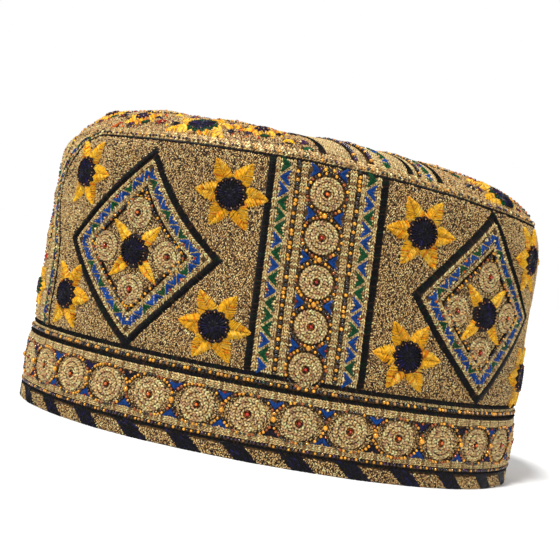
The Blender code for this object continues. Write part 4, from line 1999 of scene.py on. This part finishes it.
@dataclass
class CrownTop:
    """The crown: the middle band, and on each side of it a slanting band, flowers and coils."""

    slant: float = math.radians(113.0)
    middle: float = -2.5
    line_out: float = 16.8
    outer_line: float = 29.8
    border: float = 4.5
    flowers: tuple[Corner, ...] = ((-36.5, -62.7), (79.5, -33.5))
    small_flowers: tuple[Corner, ...] = ((-14.0, -63.0), (-63.0, -45.0), (-80.5, -21.0))
    coils: tuple[Corner, ...] = ((-58.0, -24.5), (-28.0, -33.0), (52.0, -27.0))
    chains: tuple[float, ...] = (
        -14.8, -13.3, -11.8, -10.3, -8.8, -7.4, -3.3, -1.7, 3.0, 4.4, 10.0, 11.5, 13.0, 14.6, 18.8, 22.0, 27.3
    )
    petal_yarns: tuple[Yarn, ...] = palette("straw tan yellow amber")
    petal_shares: tuple[float, ...] = (2.6, 2.4, 3.0, 1.0)

    def build(self) -> None:
        """Sews the crown's middle band and its two mirrored halves."""
        spine = Needlework()
        Spine(gap=15.4).sew(spine, (-98.0, 0.0), (98.0, 0.0))
        GroundFill().sew(spine, (-98.0, -7.3), (98.0, 7.3), self.on_crown)
        spine.trim(self.on_crown)
        spine.finish("crown_middle", crown_chart())
        work = Needlework()
        self.slanting_band(work)
        disc = Disc(6.3, FLOWER_YARNS, palette("green bottle"), palette("green tan bottle"))
        petals = Petals(6, 5.4, 15.6, 6.6, 0.15, yarns=self.petal_yarns, shares=self.petal_shares)
        for p, q in self.flowers:
            Flower(disc, petals).sew(work, p, q)
            self.buds(work, p, q, 12.3, petals.turn)
        disc = Disc(3.4, FLOWER_YARNS, palette("plum black"), palette("gold brown"))
        petals = Petals(6, 2.9, 7.8, 3.9, 0.3, 9, yarns=self.petal_yarns, shares=self.petal_shares)
        for p, q in self.small_flowers:
            Flower(disc, petals).sew(work, p, q)
            self.buds(work, p, q, 6.6, petals.turn)
        for p, q in self.coils:
            Coil(6.2).sew(work, p, q)
            BeadRow(1.25, 1.45).sew(work, circle(p, q, 7.3))
            work.reserve(p, q, 8.0)
        self.sprigs(work)
        yarns = palette("pale beige tan pinkish brown amber plum")
        ground = GroundFill(yarns=yarns, shares=(2.0, 6.0, 3.0, 1.2, 1.3, 0.4, 0.4))
        ground.sew(work, (-100.0, -84.0), (100.0, -13.9), self.allowed)
        work.trim(self.on_crown)
        work.finish("crown_left", crown_chart())
        work.finish("crown_right", crown_chart(mirrored=True))

    def strip(self, offset: float) -> Line:
        """A line of the slanting band, from the middle band out past the seam."""
        across = np.array([math.sin(self.slant), -math.cos(self.slant)])
        along = np.array([math.cos(self.slant), math.sin(self.slant)])
        at = self.middle + offset
        ends = [(q - at * across[1]) / along[1] for q in (-14.0, -92.0)]
        return Line(np.array([at * across + end * along for end in ends]))

    def slanting_band(self, work: Needlework) -> None:
        """Sews the slanting band and the narrower strip behind it."""
        stripe, greens = palette("plum black plum gold navy"), palette("green green blue")
        rows = (
            (-self.line_out, SatinLine(width=2.4)),
            (self.line_out, SatinLine(width=2.4)),
            (self.outer_line, SatinLine(width=2.3)),
            (7.2, TriangleRow(width=3.8, pitch=3.9, base=4.8, yarns=greens)),
            (24.6, TriangleRow(width=3.2, pitch=3.6, base=4.2, threads=7, yarns=greens)),
            (-5.4, BeadRow(1.7, 1.6, stripe, mix=0.3)),
            (0.8, BeadRow(1.7, 1.6, stripe, mix=0.3)),
            (20.3, BeadRow(1.5, 1.6, palette("black gold brown gold"), mix=0.3)),
            *((out, ChainStitch(width=1.5)) for out in self.chains),
        )
        for offset, row in rows:
            row.sew(work, self.strip(offset))

    def buds(self, work: Needlework, p: float, q: float, reach: float, turn: float) -> None:
        """Sews a dark bud with two bright knots in each gap between a flower's petals.

        Args:
            work: Where they are sewn.
            p: The flower's middle along the chart.
            q: The flower's middle across the chart.
            reach: How far from the middle the buds stand.
            turn: Which way the flower's first petal points.
        """
        bud = TriangleRow(width=2.6, base=3.4, threads=7, knots=0.0)
        for i in range(6):
            angle = turn + (i + 0.5) * math.pi / 3
            place = turned(p, q, angle, reach)
            bud.triangle(work, *place, angle, palette("plum green navy")[i % 3])
            turns = angle + np.array([-0.16, 0.16]) * 12.0 / reach
            colours = mixed(palette("red orange yellow plum"), [2, 1, 3, 2], 2)
            work.lay(Kind.SATIN, SEED, *turned(p, q, turns, reach + 2.6), turns, 1.4, 1.1, 0.7, colours, 0.3)
            work.reserve(*place, 1.9)

    def sprigs(self, work: Needlework) -> None:
        """Sews the small dark, red and yellow motifs between the flowers."""
        fill = TriangleRow(width=3.6, base=5.0, threads=7, knots=0.9)
        places = (
            (-54.6, -54.3, 2.6, Yarn.RED),
            (-72.5, -33.0, 0.8, Yarn.NAVY),
            (-50.0, -38.0, 3.4, Yarn.YELLOW),
            (-2.6, -71.2, 1.6, Yarn.YELLOW),
            (2.6, -69.6, 0.3, Yarn.PLUM),
            (-4.0, -55.0, 4.3, Yarn.NAVY),
            (4.6, -75.2, 2.6, Yarn.GREEN),
            (-75.0, -46.0, 5.0, Yarn.ORANGE),
            (-43.5, -42.0, 2.2, Yarn.PLUM),
            (66.0, -45.5, 2.2, Yarn.NAVY),
            (60.5, -38.0, 5.4, Yarn.GREEN),
            (76.0, -16.5, 1.0, Yarn.BLUE),
            (-42.0, -20.0, 0.7, Yarn.BLUE),
            (-14.0, -43.0, 2.2, Yarn.RED),
            (-12.0, -22.0, 3.6, Yarn.GREEN),
            (66.0, -18.5, 4.0, Yarn.RED),
        )
        for p, q, turn, yarn in places:
            fill.triangle(work, p, q, turn, yarn)
            work.reserve(p, q, 2.3)

    def on_crown(self, p: Array, q: Array) -> Array:
        """Tells which places are on the crown, inside its border rows."""
        inset, angle = CROWN_MAP.inset(p, q)
        length = np.abs(np.interp(angle, FORM.turns, FORM.lengths))
        return inset > np.where(length < 47.0, -0.1, self.border)

    def allowed(self, p: Array, q: Array) -> Array:
        """Tells which places of the crown take the ground's stitches."""
        offset = p * math.sin(self.slant) - q * math.cos(self.slant) - self.middle
        band = (offset > -self.line_out - 1.4) & (offset < self.outer_line + 1.3)
        return self.on_crown(p, q) & ~band


QUILTED = ClothFinish("quilted_cloth_painted_shade")
COTTON = LiningFinish("cotton_lining")


@dataclass
class Cloth:
    """A piece of quilted cloth with its thickness, finely divided."""

    name: str
    nodes: tuple[str, ...]
    slot: str
    thickness: float
    columns: int
    rows: int
    surface: Area
    flip: bool = False

    def build(self) -> None:
        """Makes the cloth from a grid, wraps it on the cap and thickens it inwards."""
        bm = bmesh.new()
        inwards = bm.verts.layers.float_vector.new("inwards")
        made = bmesh.ops.create_grid(bm, x_segments=self.columns, y_segments=self.rows, size=0.5)
        flat = np.array([vert.co[:] for vert in made["verts"]]) + 0.5
        normal = self.normals(flat[:, 0], flat[:, 1])
        outer = self.surface(flat[:, 0], flat[:, 1])
        outer = outer + normal * softness(outer)[:, None]
        for vert, point, out in zip(made["verts"], outer, normal):
            vert.co = Vector(point) * MM
            vert[inwards] = Vector(out) * (-self.thickness * MM)
        wall = bmesh.ops.extrude_face_region(bm, geom=bm.faces[:], use_keep_orig=True)
        for part in wall["geom"]:
            if isinstance(part, bmesh.types.BMVert):
                part.co += part[inwards]
            elif isinstance(part, bmesh.types.BMFace):
                part.material_index = 1
        bm.verts.layers.float_vector.remove(inwards)
        bmesh.ops.remove_doubles(bm, verts=bm.verts, dist=SAME_PLACE)
        bmesh.ops.recalc_face_normals(bm, faces=bm.faces)
        piece = piece_from(bm, self.name)
        piece.data.set_sharp_from_angle(angle=math.radians(50))
        piece.data.materials.append(QUILTED.material())
        piece.data.materials.append(COTTON.material())
        enlist(piece)
        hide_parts(*self.nodes)

    def normals(self, column: Array, row: Array) -> Array:
        """Outward directions of the cloth.

        Args:
            column: Places along it, from 0 to 1.
            row: Places up it, from 0 to 1.

        Returns:
            One direction a row.
        """
        step = 0.002
        low_row, high_row = np.clip(row - step, 0, 1), np.clip(row + step, 0, 1)
        along = self.surface(column + step, row) - self.surface(column - step, row)
        upwards = self.surface(column, high_row) - self.surface(column, low_row)
        normal = np.cross(along, upwards)
        size = np.linalg.norm(normal, axis=1, keepdims=True)
        normal = np.where(size > 1e-7, normal / np.maximum(size, 1e-12), np.array([0.0, 0.0, 1.0]))
        return -normal if self.flip else normal


@dataclass
class CapCloth:
    """The five pieces of cloth that carry the embroidery."""

    gap: float = 0.25
    thickness: float = 2.2
    band_thickness: float = 2.4

    def upright(self, length: Array, row: Array, gap: float) -> Array:
        """Points of the wall, from the band's top to some way below the crown seam."""
        top, foot = FORM.seam_height(FORM.angle(length)) - gap, FORM.band_top + self.gap
        return FORM.side(length, foot + (top - foot) * row)

    def left_panel(self, column: Array, row: Array) -> Array:
        """Points of the left wall panel."""
        front = EDGE.at(row) + self.gap
        return self.upright(front + (2 * QUARTER - self.gap - front) * column, row, self.gap)

    def right_panel(self, column: Array, row: Array) -> Array:
        """Points of the right wall panel."""
        return self.left_panel(column, row) * MIRROR

    def tongue(self, column: Array, row: Array) -> Array:
        """Points of the tongue."""
        return self.upright((EDGE.at(row) - self.gap) * (2 * column - 1), row, 0.0)

    def band(self, column: Array, row: Array) -> Array:
        """Points of the border band."""
        foot, top = FORM.hem_top + self.gap, FORM.band_top - self.gap
        return FORM.side(column * FORM.girth, foot + (top - foot) * row)

    def dome(self, column: Array, row: Array) -> Array:
        """Points of the crown."""
        return FORM.crown((column - 0.5) * 2 * math.pi, 1.0 - row)

    def build(self) -> None:
        """Makes them all."""
        thick, panel = self.thickness, "panel_cloth"
        for row in (
            ("wall_panel_left_cloth", ("wall_panel_left",), panel, thick, 110, 30, self.left_panel),
            ("wall_panel_right_cloth", ("wall_panel_right",), panel, thick, 110, 30, self.right_panel, True),
            ("border_band_cloth", ("border_band",), "band_cloth", self.band_thickness, 240, 8, self.band),
            ("crown_cloth", ("crown",), "crown_cloth", thick, 144, 34, self.dome),
            ("tongue_cloth", ("crown",), "crown_cloth", thick, 50, 40, self.tongue),
        ):
            Cloth(*row).build()


@dataclass
class Studio:
    """Pale floor, soft light and the photograph's view, with the camera's places in millimetres."""

    distance: float = 570.3
    azimuth: float = 0.082
    height: float = 79.0
    aim_right: float = -3.28
    aim_height: float = 64.62
    focal_pixels: float = 1372.7
    photo_pixels: float = 560.0
    sensor: float = 36.0
    roll: float = math.radians(10.09)
    surround: float = 0.5
    floor_radius: float = 6.0
    lit_height: float = 0.06

    def build(self) -> None:
        """Sets up floor, lights and camera."""
        bpy.context.scene.view_settings.view_transform = "Standard"
        self.floor()
        self.lights()
        self.camera()

    def floor(self) -> None:
        """A wide pale floor."""
        bm = bmesh.new()
        bmesh.ops.create_circle(bm, cap_ends=True, segments=96, radius=self.floor_radius)
        piece = piece_from(bm, "studio_floor")
        piece.data.materials.append(FloorFinish("pale_floor").material())

    def lights(self) -> None:
        """A soft sun, two soft lamps and a white surround that lights less than it shows."""
        world = bpy.data.worlds.new("studio")
        bpy.context.scene.world = world
        world.use_nodes = True
        wires = Wires(world.node_tree)
        seen = wires.node("ShaderNodeLightPath").outputs["Is Camera Ray"]
        strength = wires.plus(wires.times(seen, 1.0 - self.surround), self.surround)
        white = (1.0, 1.0, 1.0, 1.0)
        wires.fill(world.node_tree.nodes["Background"].inputs, {"Color": white, "Strength": strength})
        middle = Vector((0, 0, self.lit_height))
        for name, kind, place, power, size in (
            ("key", "SUN", (-0.40, -0.80, 1.55), 3.35, math.radians(9)),
            ("fill", "AREA", (0.95, -0.7, 0.35), 1.0, 0.7),
            ("back", "AREA", (0.1, 0.9, 0.9), 2.5, 0.9),
        ):
            lamp = bpy.data.lights.new(name, kind)
            lamp.energy = power
            if kind == "SUN":
                lamp.angle = size
            else:
                lamp.size = size
                lamp.shape = "DISK"
            lit = bpy.data.objects.new(name, lamp)
            lit.location = place
            lit.rotation_euler = (middle - Vector(place)).to_track_quat("-Z", "Y").to_euler()
            bpy.context.scene.collection.objects.link(lit)

    def camera(self) -> None:
        """The photograph's camera, rolled as the picture is."""
        eye = Vector((math.sin(self.azimuth), -math.cos(self.azimuth), 0.0)) * self.distance
        eye.z = self.height
        level = Vector((math.cos(self.azimuth), math.sin(self.azimuth), 0.0))
        aim = level * self.aim_right + Vector((0.0, 0.0, self.aim_height))
        ahead = (aim - eye).normalized()
        right = ahead.cross(Vector((0.0, 0.0, 1.0))).normalized()
        up = right.cross(ahead)
        cosine, sine = math.cos(self.roll), math.sin(self.roll)
        axes = right * cosine + up * sine, up * cosine - right * sine, -ahead
        data = bpy.data.cameras.new("camera")
        data.sensor_width = self.sensor
        data.lens = self.focal_pixels / self.photo_pixels * self.sensor
        data.clip_start = 0.01
        camera = bpy.data.objects.new("camera", data)
        camera.matrix_world = Matrix.Translation(eye * MM) @ Matrix(axes).transposed().to_4x4()
        bpy.context.scene.collection.objects.link(camera)
        bpy.context.scene.camera = camera


def main() -> None:
    """Builds the cap's looks in order."""
    logging.basicConfig(level=logging.INFO, format="%(name)s: %(message)s")
    CapCloth().build()
    WallPanel().build()
    BorderBand().build()
    HemStripes().build()
    SeamTrim().build()
    Tongue().build()
    CrownTop().build()
    Studio().build()
    LOG.info("%d faces sewn", sum(len(mesh.polygons) for mesh in bpy.data.meshes))


if __name__ == "__main__":
    main()
